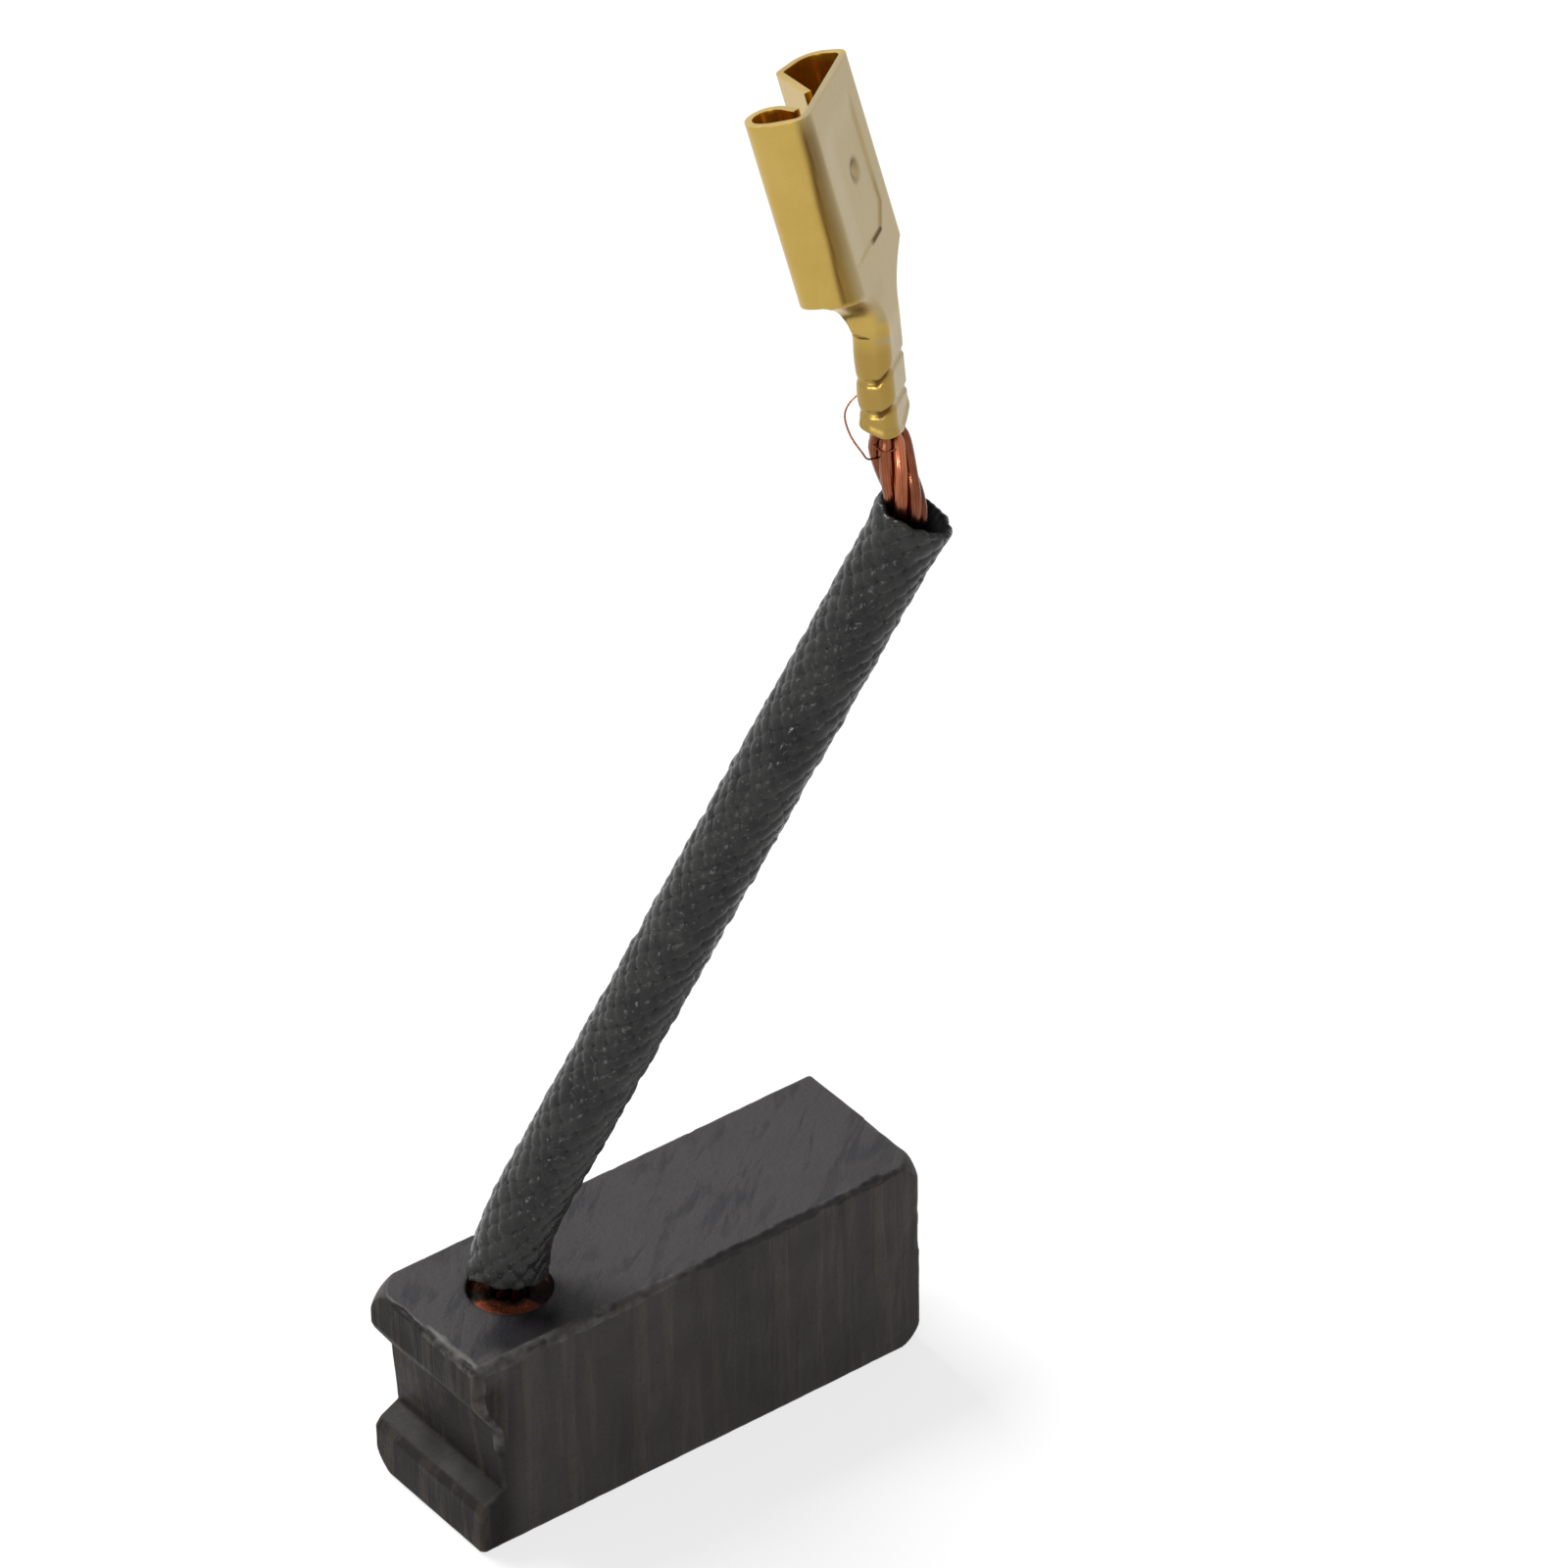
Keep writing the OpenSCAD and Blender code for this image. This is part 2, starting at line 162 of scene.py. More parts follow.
def lattice_noise(p, cell, seed):
    """Smooth noise from -1 to 1: random values on a lattice of the given cell, eased between its corners."""
    p = np.atleast_2d(p) / cell
    base = np.floor(p).astype(np.int64)
    f = p - base
    f = f * f * (3 - 2 * f)
    table = np.random.RandomState(seed).uniform(-1, 1, 4096)
    total = np.zeros(len(p))
    strides = np.array([73, 331, 1999])[: p.shape[1]]
    for corner in range(2 ** p.shape[1]):
        bits = np.array([(corner >> k) & 1 for k in range(p.shape[1])])
        weight = np.prod(np.where(bits, f, 1 - f), axis=1)
        total += weight * table[((base + bits) @ strides) % 4096]
    return total


def ease(x):
    """Smooth step from 0 to 1."""
    x = np.clip(x, 0, 1)
    return x * x * (3 - 2 * x)


def graded(lo, hi, fine, coarse, reach):
    """Positions from lo to hi, a fine step apart within reach of both ends and a coarse step elsewhere."""
    a = np.linspace(lo, lo + reach, int(round(reach / fine)) + 1)
    c = np.linspace(hi - reach, hi, int(round(reach / fine)) + 1)
    n = max(int(round((hi - lo - 2 * reach) / coarse)), 1)
    return np.concatenate([a[:-1], np.linspace(lo + reach, hi - reach, n + 1)[:-1], c])


def lengths_to(steps):
    """Running length up to each point, from the steps between them."""
    return np.concatenate([[0], np.cumsum(steps)])


def run_along(path):
    """Length of a path up to each of its points."""
    return lengths_to(np.linalg.norm(np.diff(path, axis=0), axis=1))


# ---- sizes, as in the solids

BLOCK_L, BLOCK_W, BLOCK_H = 19.0, 6.3, 8.0
BLOCK_HALF = np.array([BLOCK_L, BLOCK_W, BLOCK_H]) / 2
GROOVE_LOW, GROOVE_HIGH = 2.0, 6.1
HOLE_D, HOLE_DEPTH, HOLE_INSET = 3.0, 5.0, 3.7
POWDER_DROP = 0.15
SLEEVE_D, SLEEVE_END_D, SLEEVE_WALL, SLEEVE_SHIFT = 2.6, 2.8, 0.3, 0.08
SLEEVE_SEAT, SLEEVE_RISE, SLEEVE_FOOT, SLEEVE_FLARE = 0.5, 1.6, 1.2, 1.6
BEND_R, LEAN, RUN, HEADING = 8.0, np.radians(27.6), 29.1, -24
SLEEVE_END = BEND_R * LEAN + RUN
ROPE_D, ROPE_FOOT = 1.4, 4.4
STRIP_T = 0.25
BARREL_L, BARREL_W, BARREL_H = 3.7, 2.1, 1.3
NECK_L, RECEPTACLE_L, NECK_BEND_R, CRIMP_BEND = 2.05, 6.6, 3.0, 11
BELL_AT = np.array([13.59, 0.85, 32.6])
TERMINAL_TURN = turn_about(2, 61.5) @ turn_about(1, 5.5) @ turn_about(0, -17)
BARREL_TURN = TERMINAL_TURN @ turn_about(0, CRIMP_BEND)
BARREL_AXIS = BARREL_TURN @ np.array([0, 0, 1.0])
HOLE_AT = np.array([HOLE_INSET - BLOCK_L / 2, 0, BLOCK_H])
ROUTE = np.array([
    [0, 0, -ROPE_FOOT], [0, 0, -2.4], [0, 0, -0.9], [0, 0, -0.1], [0, 0, 0.6], [0.2, 0.12, 1.8],
    [0.7, 0.2, 3.3], [2.1, 0.2, 6], [3.7, 0.2, 9], [5.2, 0.2, 12], [6.8, 0.2, 15], [8.4, 0.2, 18],
    [9.9, 0.2, 21], [11.5, 0.2, 24], [12.6, 0.2, 26], [13.3, 0.2, 27.2], [13.85, 0.15, 28.3],
    [14.1, 0.1, 29.3], [14.08, 0.13, 29.9], [13.98, 0.2, 30.5], [13.86, 0.33, 31], [13.75, 0.48, 31.5],
    *(BELL_AT + k * BARREL_AXIS for k in (-0.4, 0, 0.6, 1.4, 2.4, BARREL_L + 0.05))])


def from_hole(p):
    """From the lead's own axes at the hole mouth to the part's."""
    return np.asarray(p) @ turn_about(2, HEADING).T + HOLE_AT


def from_crimp(p):
    """From the barrel's axes (floor outside at y = 0, mouth at z = 0) to the part's."""
    return from_hole((np.asarray(p) - [0, BARREL_H / 2, 0]) @ BARREL_TURN.T + BELL_AT)


# ---- shader groups and materials

class Shade:
    """Short hand for wiring the nodes of one tree; a plain colour is given as red, green and blue."""

    def __init__(self, tree):
        self.tree = tree

    def fill(self, sockets, values):
        """Link or set inputs, by name or number."""
        for key, value in values.items():
            if isinstance(value, bpy.types.NodeSocket):
                self.tree.links.new(value, sockets[key])
            else:
                sockets[key].default_value = value

    def node(self, kind, values=None, **settings):
        """The outputs of a new node, with its settings made and its inputs filled."""
        n = self.tree.nodes.new("ShaderNode" + kind)
        for key, value in settings.items():
            setattr(n, key, value)
        self.fill(n.inputs, values or {})
        return n.outputs

    def math(self, op, a, b):
        """One sum, difference, product or maximum."""
        return self.node("Math", {0: a, 1: b}, operation=op)[0]

    def times(self, first, *others):
        """The product of several values."""
        for other in others:
            first = self.math("MULTIPLY", first, other)
        return first

    def mix(self, factor, a, b):
        """Colour a turned into colour b by the factor."""
        a, b = ((*c, 1) if isinstance(c, tuple) else c for c in (a, b))
        return self.node("Mix", {0: factor, 6: a, 7: b}, data_type="RGBA")[2]

    def layers(self, face, *layers):
        """A colour with others laid over it in turn, each a mask, its strength and its colour."""
        for mask, strength, colour in layers:
            face = self.mix(self.times(mask, strength), face, colour)
        return face

    def noise(self, vector, scale, detail, rough=0.5, distort=0.0):
        """Noise, its scale per metre."""
        return self.node("TexNoise", {"Vector": vector, "Scale": scale, "Detail": detail,
                                      "Roughness": rough, "Distortion": distort})[0]

    def span(self, value, lo, hi, to_lo=0.0, to_hi=1.0):
        """The value's way from lo to hi, clamped and carried to another range."""
        values = dict(enumerate((value, lo, hi, to_lo, to_hi)))
        return self.node("MapRange", values, clamp=True)[0]

    def stretch(self, vector, scale, turn=(0, 0, 0)):
        """Coordinates turned and scaled; a small scale draws a pattern out along its axis."""
        return self.node("Mapping", {"Vector": vector, "Scale": scale, "Rotation": turn})[0]

    def bump(self, height, strength, depth):
        """A bump's normal, its depth in mm."""
        values = {"Height": height, "Strength": strength, "Distance": depth * MM}
        return self.node("Bump", values)[0]

    def split(self, vector):
        """X, Y and Z of a vector."""
        return self.node("SeparateXYZ", {0: vector})

    def painted_shade(self):
        """The piece's own mask of painted shade."""
        return self.node("Attribute", attribute_name="painted_shade")["Fac"]

    def grain(self, *values):
        """The outputs of the shared Grain group, from its inputs in order."""
        return self.node("Group", dict(enumerate(values)), node_tree=GRAIN)

    def streaks(self, *values):
        """The mask of the shared Streaks group, from its inputs in order."""
        return self.node("Group", dict(enumerate(values)), node_tree=STREAKS)[0]

    def seen(self):
        """1 for what the camera sees straight, in mirrors or through glass, and 0 for light on the object."""
        rays = self.node("LightPath")
        mirrored = self.math("MAXIMUM", rays["Is Camera Ray"], rays["Is Glossy Ray"])
        return self.math("MAXIMUM", mirrored, rays["Is Transmission Ray"])


def new_group(name, values, outputs):
    """An empty shader node group with a Vector and named numbers: its tree, its values and its outputs."""
    tree = bpy.data.node_groups.new(name, "ShaderNodeTree")
    tree.interface.new_socket("Vector", in_out="INPUT", socket_type="NodeSocketVector")
    for label, value in values.items():
        tree.interface.new_socket(label, in_out="INPUT", socket_type="NodeSocketFloat").default_value = value
    for label in outputs:
        tree.interface.new_socket(label, in_out="OUTPUT", socket_type="NodeSocketFloat")
    return Shade(tree), tree.nodes.new("NodeGroupInput").outputs, tree.nodes.new("NodeGroupOutput").inputs


def grain_group():
    """Grain: coarse and fine noise on object coordinates, as a mottle, a speck mask and a bump height."""
    s, given, out = new_group("Grain", {"Coarse": 500.0, "Fine": 6000.0, "Speck": 0.62},
                              ("Mottle", "Specks", "Height"))
    coarse = s.noise(given["Vector"], given["Coarse"], 4.0, 0.6)
    fine = s.noise(given["Vector"], given["Fine"], 3.0, 0.6)
    s.fill(out, {"Mottle": s.span(coarse, 0.3, 0.7),
                 "Specks": s.span(fine, given["Speck"], s.math("ADD", given["Speck"], 0.08)),
                 "Height": s.math("ADD", s.times(coarse, 0.6), s.times(fine, 0.4))})
    return s.tree


def streak_group():
    """Streaks: noise on coordinates drawn out along one direction, as a soft mask."""
    s, given, out = new_group("Streaks", {"Density": 600.0, "Low": 0.45, "High": 0.7}, ("Mask",))
    drawn = s.noise(given["Vector"], given["Density"], 3.0, 0.55, 0.4)
    s.fill(out, {"Mask": s.span(drawn, given["Low"], given["High"])})
    return s.tree


GRAIN = grain_group()
STREAKS = streak_group()
# middle and reach of the painted shadow of the sleeve on the top, by the hole
SLEEVE_SHADOW_AT, SLEEVE_SHADOW_REACH = (-6.6, -2.3), (1.7, 1.1)


def new_material(name, rough, metal, spec):
    """A Principled material with its plain values on its own sockets; with it, object and map coordinates."""
    material = bpy.data.materials.new(name)
    material.use_nodes = True
    s = Shade(material.node_tree)
    shader = material.node_tree.nodes["Principled BSDF"]
    s.fill(shader.inputs, {"Roughness": rough, "Metallic": metal, "Specular IOR Level": spec})
    where = s.node("TexCoord")
    return material, s, shader, where["Object"], where["UV"]


def carbon_material():
    """Dull graphite: bluer on the sawn top, browner on the sides, darkest on the end and its groove's lip.

    Streaks run aslant over the top, up the sides and along the end.  The end and its groove's lip
    are darkened with painted shade.  A painted shadow of the sleeve lies by the hole, and the map's
    two masks lighten the rounded edges with a painted highlight on rubbed wear and darken chips with
    painted shade.
    """
    material, s, shader, here, along = new_material("carbon", 0.5, 0.0, 0.25)
    grain = s.grain(here, 450.0, 5200.0, 0.6)
    facing = s.split(s.node("NewGeometry")["Normal"])
    place = s.split(here)
    wear = s.split(along)
    # the end faces and the groove's lip, darker than the top and sides: painted shade
    lip = s.times(s.span(place[0], -7.8 * MM, -8.6 * MM), s.span(place[2], 7.4 * MM, 6.8 * MM))
    end = s.math("MAXIMUM", s.span(facing[0], -0.4, -0.8), lip)
    level = s.span(facing[2], 0.55, 0.95)
    low = s.math("SUBTRACT", 1.0, level)
    top = s.times(level, s.math("SUBTRACT", 1.0, lip))
    sawn = s.stretch(s.stretch(here, (1, 1, 1), (0, 0, np.radians(-38))), (0.25, 1, 1))
    upright = s.stretch(here, (1, 1, 0.09), (0, np.radians(5), 0))
    patches = s.span(s.noise(here, 330.0, 2.0), 0.3, 0.46)
    top_streaks = s.times(s.streaks(sawn, 1300.0, 0.5, 0.62), patches, top)
    side_streaks = s.times(s.streaks(upright, 1500.0, 0.47, 0.62), low)
    dark_streaks = s.times(s.streaks(upright, 800.0, 0.5, 0.66), low)
    end_lines = s.times(s.streaks(s.stretch(here, (1, 0.05, 1)), 2600.0, 0.45, 0.62), end)
    # painted shadow of the sleeve: a soft dark oval on the top between the hole and the near edge
    (x, y), (reach_x, reach_y) = SLEEVE_SHADOW_AT, SLEEVE_SHADOW_REACH
    spot = s.node("Mapping", {"Vector": here, "Location": (-x / reach_x, -y / reach_y, 0),
                              "Scale": (1 / (reach_x * MM), 1 / (reach_y * MM), 0)})[0]
    away = s.node("VectorMath", {0: spot}, operation="LENGTH")["Value"]
    sleeve_shadow = s.times(s.span(s.math("ADD", away, s.times(patches, 0.3)), 1.5, 0.8), top)
    # rubbed wear on the rounded edges, lightened as a painted highlight
    rubbed_and_highlit = s.times(wear[0], s.span(s.noise(here, 2600.0, 3.0), 0.35, 0.7, 0.15, 0.75))
    face = s.layers(
        s.mix(top, (0.032, 0.0275, 0.0245), (0.0315, 0.0275, 0.0285)),
        # painted shade on the end and its groove's lip
        (end, 1, (0.0155, 0.0135, 0.012)),
        (s.span(s.noise(here, 210.0, 3.0, 0.6), 0.35, 0.65), 0.3, (0.018, 0.016, 0.016)),
        (grain["Mottle"], 0.25, (0.014, 0.013, 0.014)),
        (top_streaks, 0.9, (0.011, 0.011, 0.013)),
        (side_streaks, 0.4, (0.064, 0.050, 0.038)),
        (dark_streaks, 0.5, (0.010, 0.0095, 0.010)),
        (end_lines, 0.45, (0.010, 0.009, 0.009)),
        (grain["Specks"], 0.35, (0.008, 0.008, 0.008)),
        # painted shadow of the sleeve
        (sleeve_shadow, 0.7, (0.006, 0.006, 0.007)),
        # rubbed edges with a painted highlight
        (rubbed_and_highlit, 1, (0.105, 0.1, 0.09)),
        # painted shade in the chips
        (wear[1], 0.6, (0.010, 0.009, 0.010)))
    dull_and_shaded = s.math("MAXIMUM", s.times(end, 0.75), sleeve_shadow)
    relief = s.math("ADD", grain["Height"], s.times(side_streaks, 0.5))
    relief = s.math("SUBTRACT", relief, s.times(top_streaks, 0.2))
    s.fill(shader.inputs, {"Base Color": face, "Specular IOR Level": s.span(dull_and_shaded, 0, 1, 0.19, 0.03),
                           "Roughness": s.span(grain["Mottle"], 0, 1, 0.42, 0.6),
                           "Normal": s.bump(relief, 0.7, 0.06)})
    return material


def powder_material():
    """Tamped copper powder: rusty orange crumbs on dark brown, darkened where its mask paints shade."""
    material, s, shader, here, _ = new_material("powder", 0.8, 0.0, 0.2)
    grain = s.grain(here, 1800.0, 9000.0, 0.52)
    face = s.layers(s.mix(grain["Mottle"], (0.028, 0.008, 0.004), (0.19, 0.04, 0.012)),
                    (grain["Specks"], 0.6, (0.24, 0.065, 0.02)),
                    # painted shade of the sleeve and of the hole's sides
                    (s.painted_shade(), 1, (0.010, 0.0045, 0.003)))
    s.fill(shader.inputs, {"Base Color": face, "Normal": s.bump(grain["Height"], 0.8, 0.1)})
    return material


def sleeve_material():
    """Black varnished braid: charcoal threads, painted shade between them, small painted glints."""
    material, s, shader, here, along = new_material("sleeving", 0.4, 0.0, 0.35)
    grain = s.grain(here, 900.0, 7000.0, 0.62)
    # deep: painted shade between the threads and in the bore
    deep = s.span(s.split(along)[1], 0.6, 0.1)
    # painted glints on the tops of the threads
    painted_glints = s.times(grain["Specks"], s.math("SUBTRACT", 1.0, deep))
    face = s.layers(s.mix(grain["Mottle"], (0.012, 0.013, 0.012), (0.031, 0.032, 0.030)),
                    (deep, 1, (0.004, 0.004, 0.004)),
                    (painted_glints, 0.6, (0.12, 0.12, 0.11)))
    rough = s.math("ADD", s.span(grain["Mottle"], 0, 1, 0.17, 0.38), s.times(deep, 0.4))
    s.fill(shader.inputs, {"Base Color": face, "Roughness": rough,
                           "Specular IOR Level": s.span(deep, 0, 1, 0.2, 0.02),
                           "Normal": s.bump(grain["Height"], 0.5, 0.06)})
    return material


def copper_material():
    """Bright copper strands: patches of painted dark reflection, fine wires in faint lines along each."""
    material, s, shader, here, along = new_material("copper", 0.24, 1.0, 0.5)
    wires = s.node("TexWave", {"Vector": s.stretch(along, (1, 0.05, 1)), "Scale": 2.5,
                               "Distortion": 1.5, "Detail": 2.0})[1]
    # patches of painted dark reflection along the strands
    dark_reflection_patches = s.span(s.noise(s.stretch(here, (1, 1, 0.35)), 1100.0, 3.0, 0.6), 0.4, 0.62)
    face = s.layers(s.mix(s.times(wires, 0.4), (0.36, 0.105, 0.048), (0.66, 0.27, 0.14)),
                    (dark_reflection_patches, 0.75, (0.17, 0.048, 0.024)),
                    # the rope's painted shade
                    (s.painted_shade(), 1, (0.045, 0.014, 0.008)))
    mottle = s.span(s.noise(here, 700.0, 3.0), 0.35, 0.65)
    s.fill(shader.inputs, {"Base Color": face, "Roughness": s.span(mottle, 0, 1, 0.16, 0.3),
                           "Normal": s.bump(wires, 0.25, 0.02)})
    return material


def brass_material(name, inside):
    """Formed brass strip: a pale floor outside, deep amber inside, brown where the mask paints shade.

    The outside's pale floor is a painted reflection and its darker barrel is painted shade; the inside's deep
    amber is painted light bounced between the walls.  The map gives the way round the section and the way
    along, so the pale floor is a band in it: narrow on the barrel, wide on the receptacle, and reaching
    0.4 mm further on the far side.
    """
    material, s, shader, here, along = new_material(name, 0.26, 1.0, 0.5)
    around, up, _ = s.split(along)
    rolled = s.streaks(s.stretch(here, (1, 1, 0.05)), 4000.0, 0.35, 0.7)
    grain = s.grain(here, 300.0, 5000.0, 0.68)
    if inside:
        # the inside: deep amber painted in for light bounced between the walls
        face = s.mix(grain["Mottle"], (0.74, 0.42, 0.035), (0.84, 0.55, 0.06))
    else:
        # the floor band outside: a paler painted reflection
        wide = s.span(up, BARREL_L - 0.3, BARREL_L + 0.6, 0.65, 2.2)
        floor = s.times(s.span(s.math("ADD", around, wide), -0.15, 0.15),
                        s.span(s.math("SUBTRACT", around, s.math("ADD", wide, 0.4)), 0.15, -0.15))
        face = s.layers(s.mix(grain["Mottle"], (0.47, 0.315, 0.072), (0.54, 0.385, 0.11)),
                        # the barrel darker: painted shade
                        (s.span(up, BARREL_L + 0.4, BARREL_L - 0.6, 0.0, 0.6), 1, (0.27, 0.17, 0.045)),
                        (floor, 0.75, (0.36, 0.3, 0.18)))
    # the piece's mask: painted shade and dark reflections, browner and rougher
    shade_marks = s.painted_shade()
    face = s.layers(face, (rolled, 0.15, (0.42, 0.27, 0.08)), (shade_marks, 0.95, (0.1, 0.046, 0.011)))
    rough = s.math("ADD", s.span(grain["Mottle"], 0, 1, 0.22, 0.32), s.times(shade_marks, 0.3))
    s.fill(shader.inputs, {"Base Color": face, "Roughness": rough, "Normal": s.bump(rolled, 0.15, 0.01)})
    return material


CARBON, POWDER, SLEEVING, COPPER = carbon_material(), powder_material(), sleeve_material(), copper_material()
# the inside material's brighter amber is painted bounce light
BRASS = [brass_material("brass outside", False), brass_material("brass inside with painted bounce light", True)]


# ---- rope

def smooth_path(points, step):
    """A Catmull-Rom curve through the points, sampled about one step apart."""
    p = np.vstack([2 * points[0] - points[1], points, 2 * points[-1] - points[-2]])
    out = []
    for a, b, c, d in zip(p[:-3], p[1:-2], p[2:-1], p[3:]):
        n = max(int(np.ceil(np.linalg.norm(c - b) / step)), 1)
        t = np.linspace(0, 1, n, endpoint=False)[:, None]
        out.append(0.5 * (2 * b + (c - a) * t + (2 * a - 5 * b + 4 * c - d) * t ** 2
                          + (3 * b - a - 3 * c + d) * t ** 3))
    return np.vstack(out + [points[-1:]])


def side_axes(path):
    """Two unit axes square to the path at each of its points, the second nearest to Y."""
    tangent = np.gradient(path, axis=0)
    tangent /= np.linalg.norm(tangent, axis=1)[:, None]
    side = np.cross([0, 1, 0], tangent)
    side /= np.linalg.norm(side, axis=1)[:, None]
    return side, np.cross(tangent, side)


def tube(centre, radius, sides, wires=0):
    """A closed tube: rings of the given radius square to the centreline, and a fan over each end.

    Fine wires flute it: between two of them the radius dips by 3.5 %, as the sixth power of a sine.
    """
    side, up = side_axes(centre)
    turn = np.linspace(0, TAU, sides, endpoint=False)
    run = run_along(centre)
    flute = 1 - 0.035 * np.abs(np.sin((wires * turn + 1.1 * run[:, None]) / 2)) ** 6 if wires else 1
    radius = (radius + 0 * run)[:, None] * flute * np.ones((1, sides))
    ring = np.cos(turn)[:, None] * side[:, None, :] + np.sin(turn)[:, None] * up[:, None, :]
    points = centre[:, None, :] + radius[:, :, None] * ring
    uv = np.stack(np.broadcast_arrays(np.abs(turn / np.pi - 1)[None, :], run[:, None]), axis=-1)
    n = len(centre) * sides
    quads = np.vstack([grid_faces(len(centre), sides, wrap=True),
                       fan_faces(n, 0, sides, back=True), fan_faces(n + 1, n - sides, sides)])
    points = np.vstack([points.reshape(-1, 3), centre[:1], centre[-1:]])
    return points, quads, np.vstack([uv.reshape(-1, 2), [[0, 0]], [[0, run[-1]]]])


OUTER, LOOSE = 6, 2
LAY, STRAND_R, STRAND_OUT = 11.0, 0.235, 0.455
STRAND_SIDES, WIRES = 40, 8
# how much painted shade darkens each strand, for dark reflections, the core last
STRAND_SHADE = (0.35, 0.0, 0.6, 0.75, 0.7, 0.55, 0.8)
# thickness and line of each stray wire, from the mouth of the barrel
STRAYS = (
    (0.035, [(-0.5, 0.2, -0.9), (-1.1, 0.35, -0.65), (-1.13, 0.51, -0.41), (-0.96, 0.9, 0.09),
             (-0.7, 1.12, 0.67), (-0.41, 0.97, 1.07), (-0.1, 0.5, 1.4), (0, 0.3, 1.45)]),
    (0.03, [(-0.2, 0.3, 0.6), (-0.39, 0.5, 0.79), (-0.34, 0.68, 0.98), (-0.21, 0.72, 1.26), (0, 0.45, 1.5)]),
    (0.03, [(-0.55, 0.3, -0.42), (-0.68, 0.1, -0.5), (-0.73, -0.15, -0.57), (-0.5, -0.45, -0.56)]))


def make_rope():
    """Six strands laid round a core, each a tube on a helix round the rope's line, and three stray wires.

    Past the mouth of the barrel the lay is pressed flat, and one strand bulges out just before it.  Strands
    are darkened with painted shade: each by its own share, for dark reflections, and deep in the lay
    and down in the powder.
    """
    path = smooth_path(ROUTE, 0.22)
    run = run_along(path)
    bell = run[np.argmin(np.linalg.norm(path - BELL_AT, axis=1))]
    side, up = side_axes(path)
    wide = TERMINAL_TURN[:, 0]
    pressed = ease((run - bell + 0.7) / 0.9)[:, None]
    middle = np.vstack([np.repeat(path, STRAND_SIDES, axis=0), path[:1], path[-1:]])
    parts, dull_and_shaded = [], []
    for k in range(OUTER + 1):
        turn = TAU * k / OUTER + TAU * run / LAY + 0.4
        out = STRAND_OUT if k < OUTER else 0.0
        offset = out * (np.cos(turn)[:, None] * side + np.sin(turn)[:, None] * up)
        across = (offset @ wide)[:, None] * wide
        offset = offset * (1 - pressed) + pressed * (1.1 * across + 0.45 * (offset - across))
        if k == LOOSE:
            bulge = np.exp(-((run - bell + 0.5) / 0.8) ** 2)[:, None]
            offset = offset + bulge * (0.28 * wide - 0.12 * up)
        radius = STRAND_R - 0.05 * pressed[:, 0] + 0.006 * np.sin(run * 2.1 + k)
        strand = tube(path + offset, radius, STRAND_SIDES, WIRES)
        # painted shade deep in the lay and down in the hole
        hidden = ease((0.62 - np.linalg.norm(strand[0] - middle, axis=1)) / 0.25)
        buried = ease((0.9 - strand[0][:, 2]) / 0.5)
        parts.append(strand)
        dull_and_shaded.append(np.maximum(STRAND_SHADE[k], 0.9 * np.maximum(hidden, buried)))
    for thick, points in STRAYS:
        parts.append(tube(smooth_path(np.array(points) @ BARREL_TURN.T + BELL_AT, 0.12), thick, 6))
        dull_and_shaded.append(np.full(len(parts[-1][0]), 0.15))
    points, quads, uv = join(parts)
    rope = add_piece("rope", from_hole(points), quads, [COPPER], uv, np.concatenate(dull_and_shaded))
    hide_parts("lead")
    return rope, from_hole(path) * MM


rope, rope_line = make_rope()


# ---- sleeve

BRAID_COUNT, BRAID_PITCH, BRAID_DEPTH = 12, 0.84, 0.1
SLEEVE_AROUND, SLEEVE_ROWS, BORE_ROWS = 176, 496, 60


def sleeve_line(s):
    """Point of the sleeve's middle at the distance s from the hole mouth, and the unit axis out of its bend.

    The line goes straight up out of the hole, round the bend and straight on.
    """
    arc = BEND_R * LEAN
    angle = np.clip(s, 0, arc) / BEND_R
    past, before = np.maximum(s - arc, 0), np.minimum(s, 0)
    w = BEND_R * (1 - np.cos(angle)) + past * np.sin(LEAN)
    z = BEND_R * np.sin(angle) + past * np.cos(LEAN) + before
    point = np.stack([w, np.full_like(w, SLEEVE_SHIFT), z], axis=-1)
    return point, np.stack([np.cos(angle), np.zeros_like(w), -np.sin(angle)], axis=-1)


def sleeve_foot(turn):
    """Height of the sleeve's askew end: in the powder on the far side, clear of it on the near side."""
    near = (1 - np.sin(turn)) / 2
    return -SLEEVE_SEAT + (SLEEVE_RISE - 0.25) * (1 - (1 - near) ** 2)


def braid(turn, s):
    """Height from 0 to 1 of a diamond braid: two sets of threads on opposite helices, over and under in turn.

    A thread's height is a half round across it, times a slow wave along it that lifts it over every other
    crossing, times a random share for each crossing.
    """
    a = turn / TAU * BRAID_COUNT + s / BRAID_PITCH
    b = turn / TAU * BRAID_COUNT - s / BRAID_PITCH
    ia, ib = np.round(a), np.round(b)
    over_a = 0.5 + 0.5 * np.cos(np.pi * b) * np.cos(np.pi * ia)
    over_b = 0.5 - 0.5 * np.cos(np.pi * a) * np.cos(np.pi * ib)
    top_a = np.sqrt(np.clip(1 - (2.05 * (a - ia)) ** 2, 0, 1)) * over_a
    top_b = np.sqrt(np.clip(1 - (2.05 * (b - ib)) ** 2, 0, 1)) * over_b
    table = np.random.RandomState(3).uniform(0.45, 1.0, 997)
    crossing = (ia % BRAID_COUNT) * 31 + (ib % BRAID_COUNT) * 17 + np.floor(s / BRAID_PITCH) * 7
    return np.maximum(top_a, top_b) * table[crossing.astype(int) % 997]


